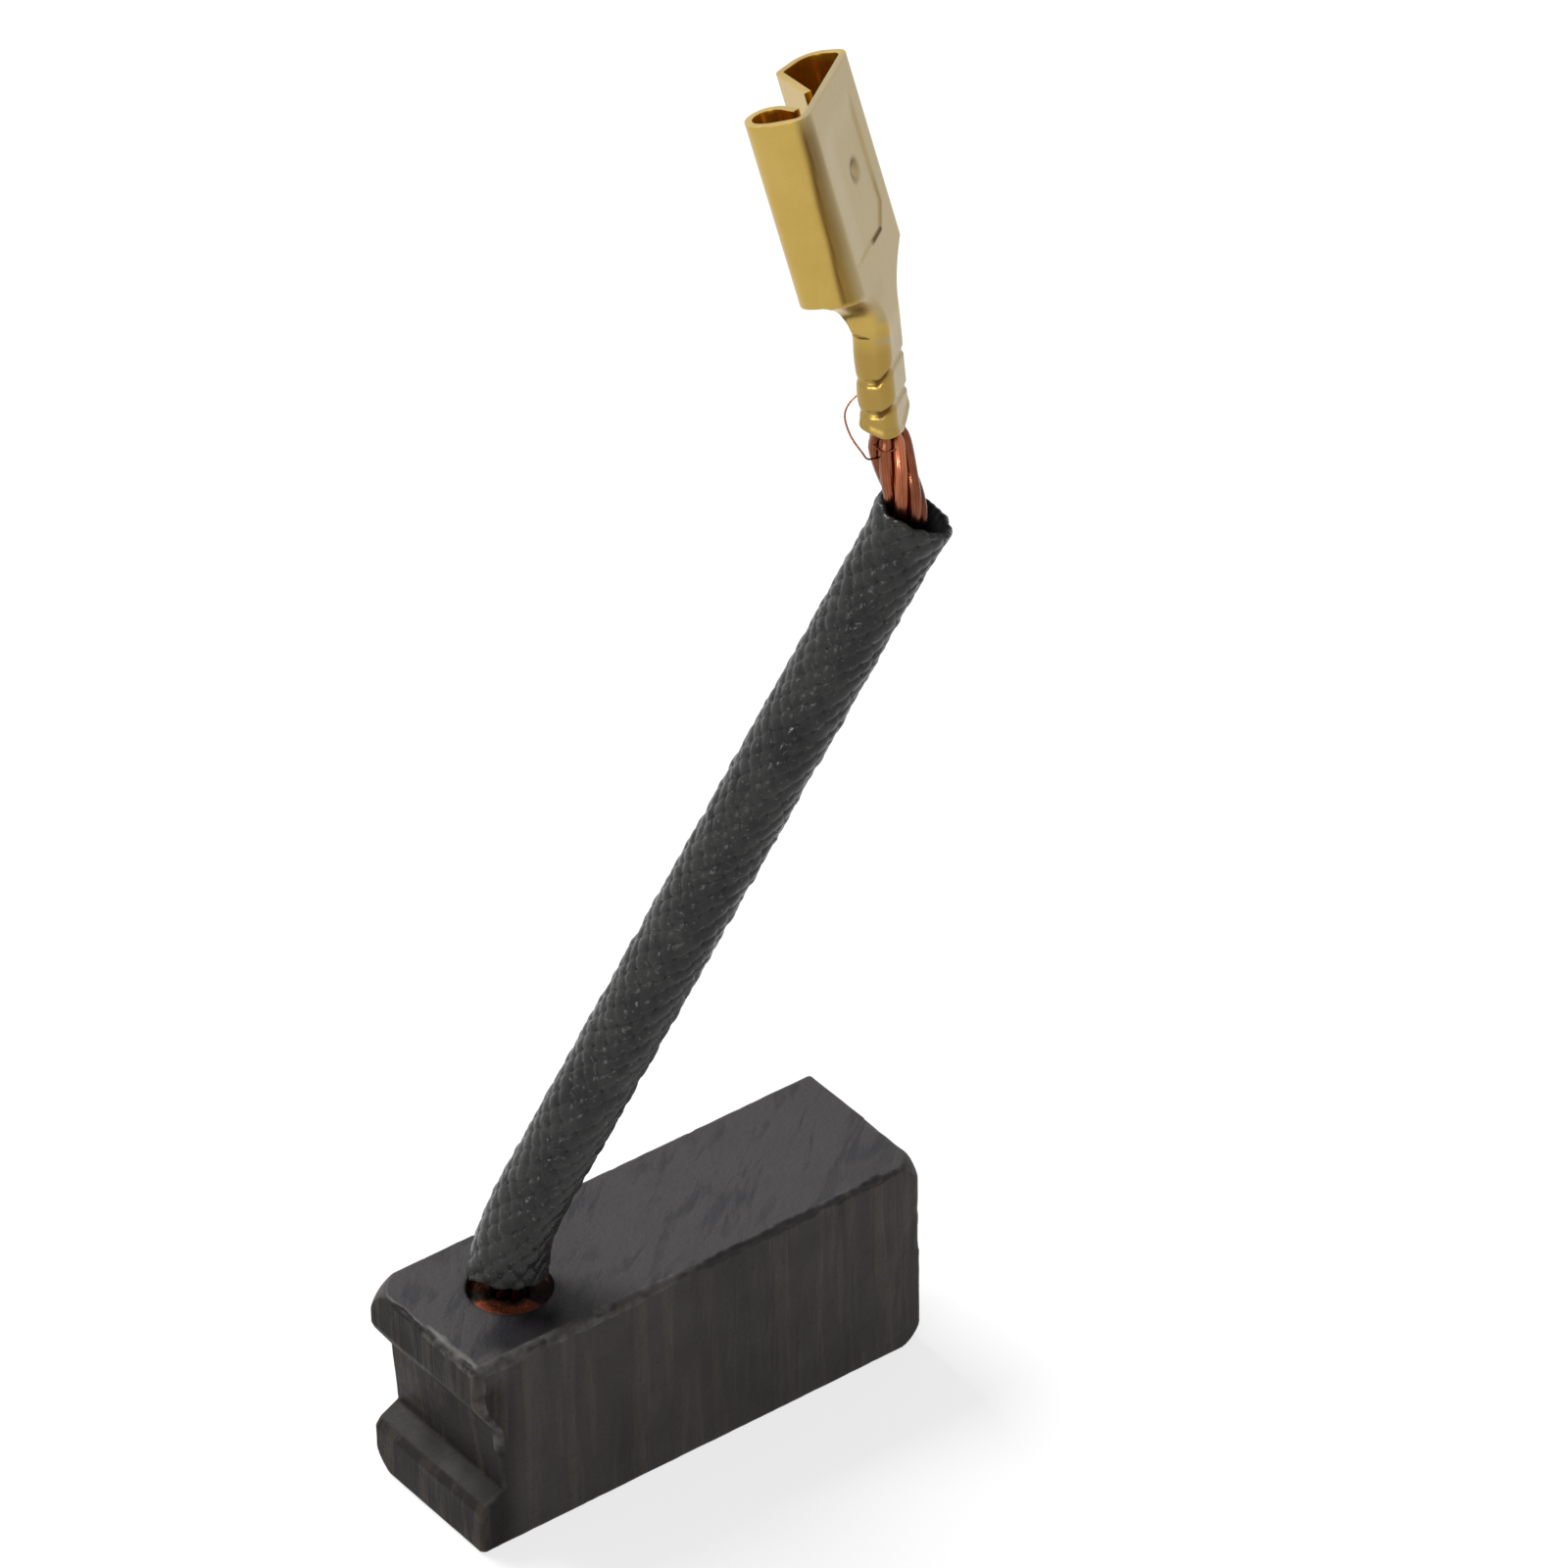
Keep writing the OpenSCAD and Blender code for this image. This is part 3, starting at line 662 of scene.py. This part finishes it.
def make_sleeve():
    """A braided tube, one closed skin: up the outside, over the ragged lip and down the bore.

    Its foot is cut askew, low in the hole on the far side and clear of the block on the near side.  The
    outer radius is the sleeve's, less the depth between threads, plus a flare at both ends and slow noise.
    """
    turn = np.linspace(0, TAU, SLEEVE_AROUND, endpoint=False)[None, :]
    ring = np.stack([np.cos(turn[0]), np.sin(turn[0])], 1)
    ragged = 0.13 * lattice_noise(ring * 2.6, 1.0, 5) + 0.05 * lattice_noise(ring * 9, 1.0, 6)
    foot = sleeve_foot(turn[0]) + 0.05 * lattice_noise(ring * 6, 1.0, 7) * (np.sin(turn[0]) < 0.3)
    climb = SLEEVE_END + ragged - foot
    s_out = foot + np.linspace(0, 1, SLEEVE_ROWS)[:, None] * climb
    s_in = foot + np.linspace(1, 0, BORE_ROWS)[:, None] * climb
    flare = (SLEEVE_END_D - SLEEVE_D) / 2
    widen = flare * ease(1 - (SLEEVE_END - s_out) / SLEEVE_FLARE) ** 1.5
    widen = widen + (flare + 0.08 * np.clip(-np.cos(turn), 0, 1)) * ease(1.2 - s_out / (SLEEVE_FOOT + 1.1))
    skin = np.stack(np.broadcast_arrays(np.cos(turn), np.sin(turn), s_out * 0.8), axis=-1).reshape(-1, 3)
    swell = lattice_noise(skin, 1.0, 8).reshape(s_out.shape)
    lumps = lattice_noise(skin, 0.45, 9).reshape(s_out.shape)
    weave = 1 - (1 - braid(turn + 0.09 * lumps, s_out + 0.15 * swell)) ** 2
    outer = SLEEVE_D / 2 - BRAID_DEPTH * (1 - weave) + widen + 0.02 * swell + 0.025 * lumps
    lip = np.full_like(s_out[-1:], SLEEVE_D / 2 - SLEEVE_WALL / 2 + flare)
    inner = SLEEVE_D / 2 - SLEEVE_WALL + 0.7 * flare * ease(1 - (SLEEVE_END - s_in) / SLEEVE_FLARE)
    s_all = np.vstack([s_out, s_out[-1:] + 0.04, s_in])
    r_all = np.vstack([outer, lip, inner])
    point, out = sleeve_line(s_all)
    across = np.array([0, 1.0, 0])
    loops = point + r_all[..., None] * (np.cos(turn)[..., None] * out + np.sin(turn)[..., None] * across)
    first = np.arange(SLEEVE_AROUND)
    last = first + (len(s_all) - 1) * SLEEVE_AROUND
    close = np.stack([last, np.roll(last, -1), np.roll(first, -1), first], axis=1)
    quads = np.vstack([grid_faces(len(s_all), SLEEVE_AROUND, wrap=True), close])
    # height in the map: low between threads and 0 in the bore, where the material paints shade
    height = np.vstack([0.2 + 0.8 * weave, 0.3 + 0 * lip, 0 * s_in])
    uv = np.stack(np.broadcast_arrays(turn / TAU, height), axis=-1).reshape(-1, 2)
    piece = add_piece("braided_sleeve", from_hole(loops.reshape(-1, 3)), quads, [SLEEVING], uv)
    outward(piece)
    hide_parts("sleeve")
    return piece


# ---- terminal

def fold_columns(floor, first, wall, rest, counts):
    """Lengths between the columns of a folded strip and the heading at each, from the middle of its floor.

    floor is the flat length, first the radius and turn of the first bend, wall the straight after it,
    rest a list of (radius, turn) bends and (length, 0) straights.
    """
    steps, heads = [], [0.0]

    def lay(length, angle, n):
        start = heads[-1]
        steps.extend([length / n] * n)
        heads.extend([start + np.radians(angle) * (i + 1) / n for i in range(n)])

    def bend(radius, angle, n):
        lay(radius * np.radians(angle), angle, n)

    lay(floor, 0, counts[0])
    bend(*first, counts[1])
    lay(wall, 0, counts[2])
    for length, angle in rest:
        if angle:
            bend(length, angle, max(int(np.ceil(angle / 6)), 2))
        else:
            lay(length, 0, max(int(np.ceil(length / 0.2)), 1))
    return np.array(steps), np.array(heads)


def lay_out(steps, heads):
    """Positions of the columns from the floor's middle: headings at mid step, carried along the steps."""
    middle = (heads[..., 1:] + heads[..., :-1]) / 2
    chord = steps * np.sinc((heads[..., 1:] - heads[..., :-1]) / TAU)
    x = np.cumsum(chord * np.cos(middle), axis=-1)
    y = np.cumsum(chord * np.sin(middle), axis=-1)
    pad = [(0, 0)] * (x.ndim - 1) + [(1, 0)]
    return np.pad(x, pad), np.pad(y, pad) + STRIP_T / 2


COUNTS = (26, 9, 7)
U_COLS = sum(COUNTS)
BEND_COLS = COUNTS[0] + COUNTS[1]
LOBE_R, BARREL_CORNER = BARREL_W / 4, 0.45
BARREL_FOLD = fold_columns(BARREL_W / 2 - BARREL_CORNER, (BARREL_CORNER - STRIP_T / 2, 90),
                           BARREL_H - LOBE_R - BARREL_CORNER,
                           [(LOBE_R - STRIP_T / 2 - 0.01, 180), (0.15, 0)], COUNTS)
FAR_WALL, NEAR_WALL = 0.38, 0.6
FAR_FOLD = fold_columns(2.5, (0.4, 80), FAR_WALL, [(0.9, 75), (0.6, 0), (0.25, 64), (2.3, 0)], COUNTS)
NEAR_FOLD = fold_columns(1.8, (0.45, 85), NEAR_WALL, [(1.6, 22), (0.62, 140), (0.75, 55), (0.6, 0)], COUNTS)
NECK_LOW, NECK_HIGH, NECK_RISE, NECK_HALF = 0.55, 1.15, 0.2, 2.6
# heights above the mouth: middle and lift of each pressed band; height, start and length of each swelling
BAND_DEPTH, BAND_HALF, BANDS = 0.06, 0.15, ((0.95, 0.3), (2.1, 0.5))
SWELLS = ((0.03, 1.1, 0.9), (0.02, 2.3, 1.1))
PANEL_SIDE, PANEL_LOW, PANEL_CUT, PANEL_RISE = 1.85, 0.9, 0.7, 0.055
DIMPLE_X, DIMPLE_Z, DIMPLE_R, DIMPLE_RISE = 0.55, 3.35, 0.36, 0.17


def strip_point(x, y, s):
    """Carry a section along the strip: the barrel below s = 0, the crimp bend, then the straight rest."""
    along = np.clip(s, 0, NECK_BEND_R * np.radians(CRIMP_BEND))
    g = along / NECK_BEND_R
    k = s - along
    py = NECK_BEND_R * (1 - np.cos(g)) + k * np.sin(g) + y * np.cos(g)
    pz = NECK_BEND_R * np.sin(g) + k * np.cos(g) - y * np.sin(g)
    return np.stack(np.broadcast_arrays(x, py, pz + BARREL_L), axis=-1)


def barrel_half(side):
    """One half of the barrel: folded wings, askew mouth, and two bands pressed in from the wall to the floor.

    Each column is pushed square to its heading: out by a smooth step at the mouth and half sines after the
    bands, in by exp(-d ** 4) at the bands, with d the distance from the band's middle in half widths.
    """
    x, y = lay_out(*BARREL_FOLD)
    heading = BARREL_FOLD[1]
    t = np.linspace(0, 1, 70)[:, None]
    floor = np.interp(side * x, [-1.05, -0.75, -0.2, 0.3, 1.05], [0.08, 0.1, 0.0, 0.2, 0.7])
    cut = (floor + 0.3 * ease((y - 0.3) / 0.9))[None, :]
    z = cut + t * (BARREL_L - cut)
    press = 0
    for middle, lift in BANDS:
        press = press + np.exp(-((z - middle - lift * (1 - ease(y / 0.5))) / BAND_HALF) ** 4)
    swell = sum(high * np.sin(np.pi * np.clip((z - low) / length, 0, 1)) for high, low, length in SWELLS)
    bell = 0.05 * ease(1 - (z - cut) / 0.35)
    push = bell + swell * ease(y / 0.6) - BAND_DEPTH * press * (1 - 0.6 * ease((y - 0.9) / 0.4))
    arc = lengths_to(BARREL_FOLD[0])
    # painted shade in the pressed bands, near the bend on the near side
    shade_marks = ease((press - 0.02) / 0.3) * ease(1.4 - np.abs(arc - 1.02) / 0.26) * (side < 0) + 0 * z
    return strip_point(side * (x + push * np.sin(heading)), y - push * np.cos(heading), z - BARREL_L), shade_marks


def neck_half(side, fold, wall):
    """One half of the neck, eased from the barrel's U to the start of the receptacle's fold.

    The half widths run as u to the power 2.6 and the walls come up to full height over the first part of it.
    """
    u = np.concatenate([[0.0, 0.008], np.linspace(0.02, 1, 46)])[:, None]
    first, last = BARREL_FOLD[0][:U_COLS], fold[0][:U_COLS]
    steps = first + (last - first) * ease(u)
    half = BARREL_W / 2 - BARREL_CORNER + (NECK_HALF - BARREL_W / 2) * u ** 2.6 + side * 0.35 * ease(u)
    steps[:, :COUNTS[0]] = half / COUNTS[0]
    rise = NECK_LOW + (NECK_HIGH - NECK_LOW) * ease(u / NECK_RISE) - BARREL_CORNER
    rise = rise + (wall - (NECK_HIGH - BARREL_CORNER)) * ease((u - 0.55) / 0.45)
    steps[1:, BEND_COLS:] = rise[1:] / COUNTS[2]
    first, last = BARREL_FOLD[1][:U_COLS + 1], fold[1][:U_COLS + 1]
    heads = first + (last - first) * ease(u)
    x, y = lay_out(steps, heads)
    # painted dark reflection low on the curving near wall, towards the receptacle
    shade_marks = 0.75 * ease(1 - np.abs(y - 0.5) / 0.45) * ease(1 - np.abs(u - 0.75) / 0.3) * (side < 0)
    return strip_point(side * x, y, u * NECK_L), shade_marks


def receptacle_half(side, fold):
    """One half of the receptacle: floor with its coined panel and locking dimple, wall and roll.

    The panel stands by a smooth step of the least distance in from its side, low line and cut corner, the
    dimple by one of the distance from its middle.  Painted shade lies in the crease along the panel
    and in a ring round the dimple, darker on one side; a painted dark reflection lies in a band between
    the floor and the near roll.
    """
    x, y = lay_out(*fold)
    z = np.unique(np.round(np.concatenate([
        np.linspace(0, RECEPTACLE_L, 74), np.linspace(2.7, 4.0, 40), np.linspace(0.6, 1.6, 24)]), 4))[:, None]
    fx = side * x[None, :] + 0 * z
    floor = (np.arange(len(x)) < COUNTS[0] + 1)[None, :]
    cut = (PANEL_SIDE - fx + z - PANEL_LOW - PANEL_CUT) / 1.414
    edge = np.minimum(PANEL_SIDE - fx, np.minimum(z - PANEL_LOW, cut))
    panel = ease(edge / 0.09) * ease((fx + 2.0) / 1.6) * ease((5.8 - z) / 1.2)
    away = np.hypot(fx - DIMPLE_X, z - DIMPLE_Z) / DIMPLE_R
    lift = floor * (PANEL_RISE * panel + DIMPLE_RISE * ease(1.15 - away))
    # crease, ring and band: painted shade along the panel's step and round the dimple, painted dark
    # reflection in the near bend
    low_side = np.where(z - PANEL_LOW < edge + 0.02, ease((fx + 0.1) / 0.4), 0.35)
    crease = np.exp(-((edge - 0.01) / 0.05) ** 2) * low_side * ease((2.9 - z) / 0.8)
    above = np.clip((DIMPLE_X - fx + z - DIMPLE_Z) * 2, -1, 1)
    ring = np.exp(-((away - 0.95) / 0.32) ** 2) * (0.55 + 0.45 * above)
    past = lengths_to(fold[0])[None, :] - 2.2 - 0.3 * (1 - z / RECEPTACLE_L) - 0.015 * np.sin(z * 2.1)
    band = np.maximum(0.95 * np.exp(-(past / 0.11) ** 2), 0.7 * ease((past + 0.6) / 0.55) * (past < 0))
    shade_marks = np.maximum(floor * np.maximum(crease, ring), band * ease((7.1 - z) / 1.4) * (side < 0))
    return strip_point(fx, y + lift, z + NECK_L), shade_marks


def make_terminal():
    """One folded brass strip: its middle surface as grids of columns across and rows along, made a sheet.

    Each half is built from the middle of the floor outwards, and the halves are welded there.  The columns of
    floor, first bend and wall run from the mouth of the barrel to the open end; wings and rolls carry on from
    the wall over their own rows.  The map holds the way round the section and the way along, in mm.
    """
    parts = []
    for side, fold, wall in ((1, FAR_FOLD, FAR_WALL), (-1, NEAR_FOLD, NEAR_WALL)):
        for (points, shade_marks), steps in ((barrel_half(side), BARREL_FOLD[0]),
                                       (neck_half(side, fold, wall), fold[0][:U_COLS]),
                                       (receptacle_half(side, fold), fold[0])):
            quads = grid_faces(*points.shape[:2])
            if side < 0:
                quads = quads[:, ::-1]
            around = side * lengths_to(steps)[None, :]
            marks = np.stack(np.broadcast_arrays(around, points[..., 2], shade_marks), axis=-1)
            parts.append((points.reshape(-1, 3), quads, marks.reshape(-1, 3)))
    points, quads, marks = weld(*join(parts), 4)
    piece = add_piece("terminal_strip", from_crimp(points), quads, BRASS, marks[:, :2], marks[:, 2])
    sheet = piece.modifiers.new("sheet", "SOLIDIFY")
    sheet.thickness = STRIP_T * MM
    sheet.offset = 0
    sheet.use_even_offset = True
    sheet.material_offset = 1
    sheared = piece.modifiers.new("sheared edges", "BEVEL")
    sheared.width = 0.07 * MM
    sheared.segments = 3
    sheared.limit_method = "ANGLE"
    sheared.angle_limit = np.radians(50)
    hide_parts("terminal")
    return piece


# ---- block

# end, side and top of each worn corner, and how far in the wear reaches
WORN = [(-1, 1, 1, 1.6), (-1, 1, 0, 1.45), (1, -1, 1, 1.45), (1, -1, 0, 1.35), (-1, -1, 0, 0.5)]
HOLE_REACH, HOLE_STEPS, EDGE_REACH = 2.2, 38, 0.6


def bites():
    """Places and sizes of the chips along the edges: small on one half of the top edge, crowded on the other.

    Each row gives an edge by a point's place along it, then the stretch, the range of sizes and how many.
    """
    rand = np.random.RandomState(41)
    end, side, _ = BLOCK_HALF
    found = []
    for edge, stretch, sizes, count in (
            (lambda x: (x, -side, BLOCK_H), (-9.2, -1), (0.06, 0.15), 16),
            (lambda x: (x, -side, BLOCK_H), (-1, 9.0), (0.08, 0.22), 60),
            (lambda y: (-end, y, BLOCK_H), (-2.9, 1.6), (0.07, 0.17), 22),
            (lambda x: (x, side, BLOCK_H), (-9, 9), (0.05, 0.12), 9),
            (lambda z: (end, -side, z), (0.5, 7.5), (0.05, 0.1), 6),
            (lambda x: (x, -side, 0), (-9, 9), (0.05, 0.1), 8),
            (lambda z: (-end, -side, z), (0.3, 7.8), (0.05, 0.09), 7)):
        found += [(*edge(along), rand.uniform(*sizes)) for along in rand.uniform(*stretch, count)]
    return np.array(found)


def bruised(p):
    """Sharp box surface to the real one: rounded bruised edges, balled corners, spring groove, chips.

    A point past the box less a radius is drawn back to that radius, which noise varies.  Worn corners are
    pulled in to balls, the groove pushes the end in by its depth, and each chip by a smooth step of the
    distance from its middle.  The map holds two masks: rubbed edges lightened as a painted highlight,
    and chips darkened with painted shade.
    """
    centre = np.array([0, 0, BLOCK_H / 2])
    sharp = p
    q = p - centre
    sign, a = np.where(q < 0, -1.0, 1.0), np.abs(q)
    n1, n2, n3 = (lattice_noise(p, cell, seed) for cell, seed in ((0.45, 11), (1.3, 12), (0.2, 13)))
    near_top = (p[:, 1] < 0) & (p[:, 2] > BLOCK_H / 2)
    radius = 0.17 + (0.015 + 0.035 * near_top) * n1 + 0.015 * n2 + 0.01 * n3
    radius = radius + near_top * (0.08 + 0.1 * ease((-p[:, 0] - 1) / 2))
    radius = np.clip(radius, 0.06, 0.4)[:, None]
    inner = BLOCK_HALF - radius
    over = np.maximum(a - inner, 0)
    length = np.linalg.norm(over, axis=1)[:, None]
    a = np.minimum(a, inner) + np.where(length > 0, over / np.maximum(length, 1e-9) * radius, 0)
    p = centre + sign * a
    for end, side, top, wear in WORN:
        corner = np.array([end * BLOCK_HALF[0], side * BLOCK_HALF[1], BLOCK_H if top else 0])
        inward = np.array([-end, -side, -1 if top else 1])
        middle = corner + inward * wear
        d = p - middle
        r = np.linalg.norm(d, axis=1)
        limit = 1.42 * wear + 0.02 * n2
        pull = (d * inward < 0).all(axis=1) & (r > limit)
        p[pull] = middle + d[pull] * (limit[pull] / r[pull])[:, None]
    depth = np.interp(p[:, 2], [GROOVE_LOW - 0.25, GROOVE_LOW, GROOVE_LOW + 0.4, GROOVE_HIGH - 1.1,
                                GROOVE_HIGH, GROOVE_HIGH + 0.25], [0, 0.2, 1.0, 0.8, 0.1, 0])
    p[:, 0] += depth * np.clip((-6.5 - p[:, 0]) / 3, 0, 1)
    # dark: painted shade round each chip, for the shade in the chipped bevel
    dark = np.zeros(len(p))
    for x, y, z, size in bites():
        at = np.array([x, y, z])
        away = (p - at) * ([0.8, 1, 1] if abs(x) < BLOCK_HALF[0] else [1, 0.8, 1])
        r = np.linalg.norm(away, axis=1) / size * (1 + 0.3 * n3)
        near = r < 1.7
        into = (centre - at) * [abs(x) == BLOCK_HALF[0], abs(y) == BLOCK_HALF[1], z in (0, BLOCK_H)]
        into = into / np.linalg.norm(into)
        deep = 0.36 * size * ease((1.2 - r[near]) / 0.8)
        p[near] += deep[:, None] * into
        dark[near] = np.maximum(dark[near], ease((1.6 - r[near]) / 0.6))
    # light: rubbed wear on the rounded edges, lightened as a painted highlight
    edge = ease(length[:, 0] / radius[:, 0] * 2 - 0.6) * (np.count_nonzero(over > 0, axis=1) > 1)
    share = np.where(near_top, np.where(sharp[:, 0] > -1, 0.35, 1), 0.25)
    light = edge * np.clip(0.75 + 0.5 * n1, 0, 1) * (1 - 0.75 * dark) * share
    return p, np.stack([light, dark], 1)


def hole_patch(mid, across):
    """From the square round the hole in to the rim, over it and down the wall to the drill point."""
    hx, rim = HOLE_AT[0], HOLE_D / 2
    b = 0 * across + HOLE_REACH
    edge = np.concatenate([np.stack(side, 1)[:-1] for side in (
        (mid, -b), (hx + b, across), (mid[::-1], b), (hx - b, across[::-1]))])
    count = len(edge)
    angle = np.arctan2(edge[:, 1], edge[:, 0] - hx)
    spoke = np.stack([np.cos(angle), np.sin(angle)], 1)
    middle = np.array([hx, 0])
    rings = [np.column_stack([edge * (1 - t) + (middle + spoke * (rim + 0.06)) * t, np.full(count, BLOCK_H)])
             for t in np.linspace(0, 1, 12)]
    low = -HOLE_DEPTH
    for r, z in ((rim + 0.03, -0.01), (rim + 0.008, -0.03), (rim, -0.07), (rim, -0.4), (rim, -1.5),
                 (rim, -3.2), (rim, low), (rim * 0.5, low - 0.46), (0.02, low - 0.92)):
        rings.append(np.column_stack([middle + spoke * r, np.full(count, BLOCK_H + z)]))
    n = len(rings) * count
    quads = np.vstack([grid_faces(len(rings), count, wrap=True), fan_faces(n, n - count, count)])
    points = np.vstack(rings + [[[hx, 0, BLOCK_H + low - 0.93]]])
    return points, quads, np.zeros((len(points), 2))


def make_block():
    """Six welded grids over the box, the top one opened round the lead hole by the hole's patch."""
    hx = HOLE_AT[0]
    hl, hw = BLOCK_HALF[:2]
    left = graded(-hl, hx - HOLE_REACH, 0.05, 0.12, EDGE_REACH)
    right = graded(hx + HOLE_REACH, hl, 0.12, 0.12, EDGE_REACH)
    mid = np.linspace(hx - HOLE_REACH, hx + HOLE_REACH, HOLE_STEPS)
    across = np.linspace(-HOLE_REACH, HOLE_REACH, HOLE_STEPS)
    xs = np.concatenate([left[:-1], mid, right[1:], np.linspace(hl - EDGE_REACH, hl, 13)])
    xs = np.unique(np.round(xs, 5))
    side = graded(-hw, -HOLE_REACH, 0.05, 0.08, 0.3)
    ys = np.concatenate([side[:-1], across, -side[::-1][1:]])
    zs = graded(0, BLOCK_H, 0.05, 0.13, EDGE_REACH)
    zs = np.unique(np.round(np.concatenate([zs, np.linspace(1.6, 2.6, 18), np.linspace(4.8, 6.5, 22)]), 5))
    parts = []
    for a, b, place in ((xs, ys, lambda a, b: (a, b, 0 * a)), (xs, zs, lambda a, b: (a, 0 * a - hw, b)),
                        (xs, zs, lambda a, b: (a, 0 * a + hw, b)), (ys, zs, lambda a, b: (0 * a - hl, a, b)),
                        (ys, zs, lambda a, b: (0 * a + hl, a, b)),
                        (xs, ys, lambda a, b: (a, b, 0 * a + BLOCK_H))):
        points = np.stack(place(*np.meshgrid(a, b, indexing="ij")), -1).reshape(-1, 3)
        parts.append((points, grid_faces(len(a), len(b)), np.zeros((len(points), 2))))
    top, quads, plain = parts.pop()
    centre = top[quads].mean(axis=1)
    opened = (np.abs(centre[:, 0] - hx) < HOLE_REACH) & (np.abs(centre[:, 1]) < HOLE_REACH)
    parts.append((top, quads[~opened], plain))
    points, quads, _ = weld(*join(parts))
    # wear: the edges' painted highlight and the chips' painted shade
    points, wear = bruised(points)
    points, quads, wear = weld(*join([(points, quads, wear), hole_patch(mid, across)]), 4)
    piece = add_piece("carbon_body", points, quads, [CARBON], wear)
    outward(piece)
    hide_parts("carbon_block")


# ---- powder

# the way to the sides of the hole darkened with painted shade, and the points round the plug
POWDER_SIDE, POWDER_AROUND = np.radians(-13), 120


def make_powder():
    """A body turned about the hole's axis, its top crumbled by noise and sunk where the sleeve stands in it.

    The mask of painted shade is 1 under the sleeve and to both sides of the hole, which leaves a
    bright crescent.
    """
    turn = np.linspace(0, TAU, POWDER_AROUND, endpoint=False)
    rim = HOLE_D / 2 - 0.005
    profile = [(ROPE_D / 2, z) for z in (-ROPE_FOOT, -3.0, -1.5, -0.8)] + [(0.5, -0.5)]
    profile += [(r, None) for r in np.linspace(0.45, rim, 34)]
    profile += [(rim, -0.6), (rim, -2.5), (rim, -HOLE_DEPTH), (0.01, -HOLE_DEPTH - 0.9)]
    rows, hole_shade = [], []
    side = np.cos(turn - POWDER_SIDE)
    for r, z in profile:
        x, y = r * np.cos(turn), r * np.sin(turn)
        # painted shade: under the sleeve and at both sides of the hole
        hole_shade.append(np.maximum(ease((0.95 - r + 0.05 * np.sin(3 * turn)) / 0.25),
                               np.maximum(ease((side - 0.74) / 0.2), ease((-side - 0.9) / 0.1))))
        if z is None:
            spot = np.stack([x, y], 1)
            off = np.hypot(x, y - SLEEVE_SHIFT) - (SLEEVE_END_D - SLEEVE_WALL) / 2
            crumbs = 0.05 * lattice_noise(spot, 0.22, 21) + 0.03 * lattice_noise(spot, 0.1, 22)
            level = -POWDER_DROP - 0.03 + crumbs - 0.25 * ease((np.abs(side) - 0.72) / 0.3)
            dug = sleeve_foot(np.arctan2(y - SLEEVE_SHIFT, x)) - 0.05
            z = np.where(np.abs(off) < SLEEVE_WALL / 2 + 0.03, np.minimum(level, dug), level)
        rows.append(np.stack([x, y, z + 0 * x], 1))
    n = len(rows) * POWDER_AROUND
    quads = np.vstack([grid_faces(len(rows), POWDER_AROUND, wrap=True),
                       fan_faces(n, 0, POWDER_AROUND, back=True),
                       fan_faces(n + 1, n - POWDER_AROUND, POWDER_AROUND)])
    points = np.vstack(rows + [[[0, 0, -ROPE_FOOT], [0, 0, -HOLE_DEPTH - 0.92]]])
    piece = add_piece("powder_plug", from_hole(points), quads, [POWDER],
                      painted_shade=np.concatenate(hole_shade + [[1.0, 1.0]]))
    outward(piece)
    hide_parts("tamping_powder")


sleeve = make_sleeve()
terminal = make_terminal()
make_block()
make_powder()


# ---- floor and light

def make_floor():
    """A pale sheet under the part; seen by the camera, in mirrors or through glass it is part plain white."""
    mesh = bpy.data.meshes.new("floor")
    r = 3.0
    mesh.from_pydata([(-r, -r, 0), (r, -r, 0), (r, r, 0), (-r, r, 0)], [], [(0, 1, 2, 3)])
    floor = bpy.data.objects.new("floor", mesh)
    bpy.context.scene.collection.objects.link(floor)
    material, s, shader, _, _ = new_material("pale floor", 0.9, 0.0, 0.1)
    shader.inputs["Base Color"].default_value = (0.86, 0.86, 0.86, 1)
    white = s.node("Emission", {"Color": (1, 1, 1, 1)})[0]
    blend = s.node("MixShader", {0: s.times(s.seen(), 0.75), 1: shader.outputs[0], 2: white})[0]
    s.fill(material.node_tree.nodes["Material Output"].inputs, {"Surface": blend})
    mesh.materials.append(material)


def make_world():
    """White when seen by the camera, in mirrors or through glass, a soft grey for the light it gives."""
    world = bpy.data.worlds.new("studio")
    bpy.context.scene.world = world
    world.use_nodes = True
    s = Shade(world.node_tree)
    s.fill(world.node_tree.nodes["Background"].inputs,
           {"Color": (1, 1, 1, 1), "Strength": s.span(s.seen(), 0, 1, 0.35, 1.0)})


def add_light(name, at, aim, size, power):
    """A square soft lamp at a point, aimed at another, in millimetres."""
    data = bpy.data.lights.new(name, "AREA")
    data.shape = "SQUARE"
    data.size = size * MM
    data.energy = power
    at, aim = np.array(at, float), np.array(aim, float)
    back = (at - aim) / np.linalg.norm(at - aim)
    side = np.cross([0, 1, 0.01], back)
    side /= np.linalg.norm(side)
    set_up(name, data, side, np.cross(back, side), back, at)


make_floor()
make_world()
add_light("key", (-60, 260, 330), (0, 0, 15), 200, 2.7)
add_light("fill", (-340, -180, 120), (0, 0, 20), 30, 0.3)
bpy.context.scene.view_settings.view_transform = "Standard"

bpy.context.view_layer.update()
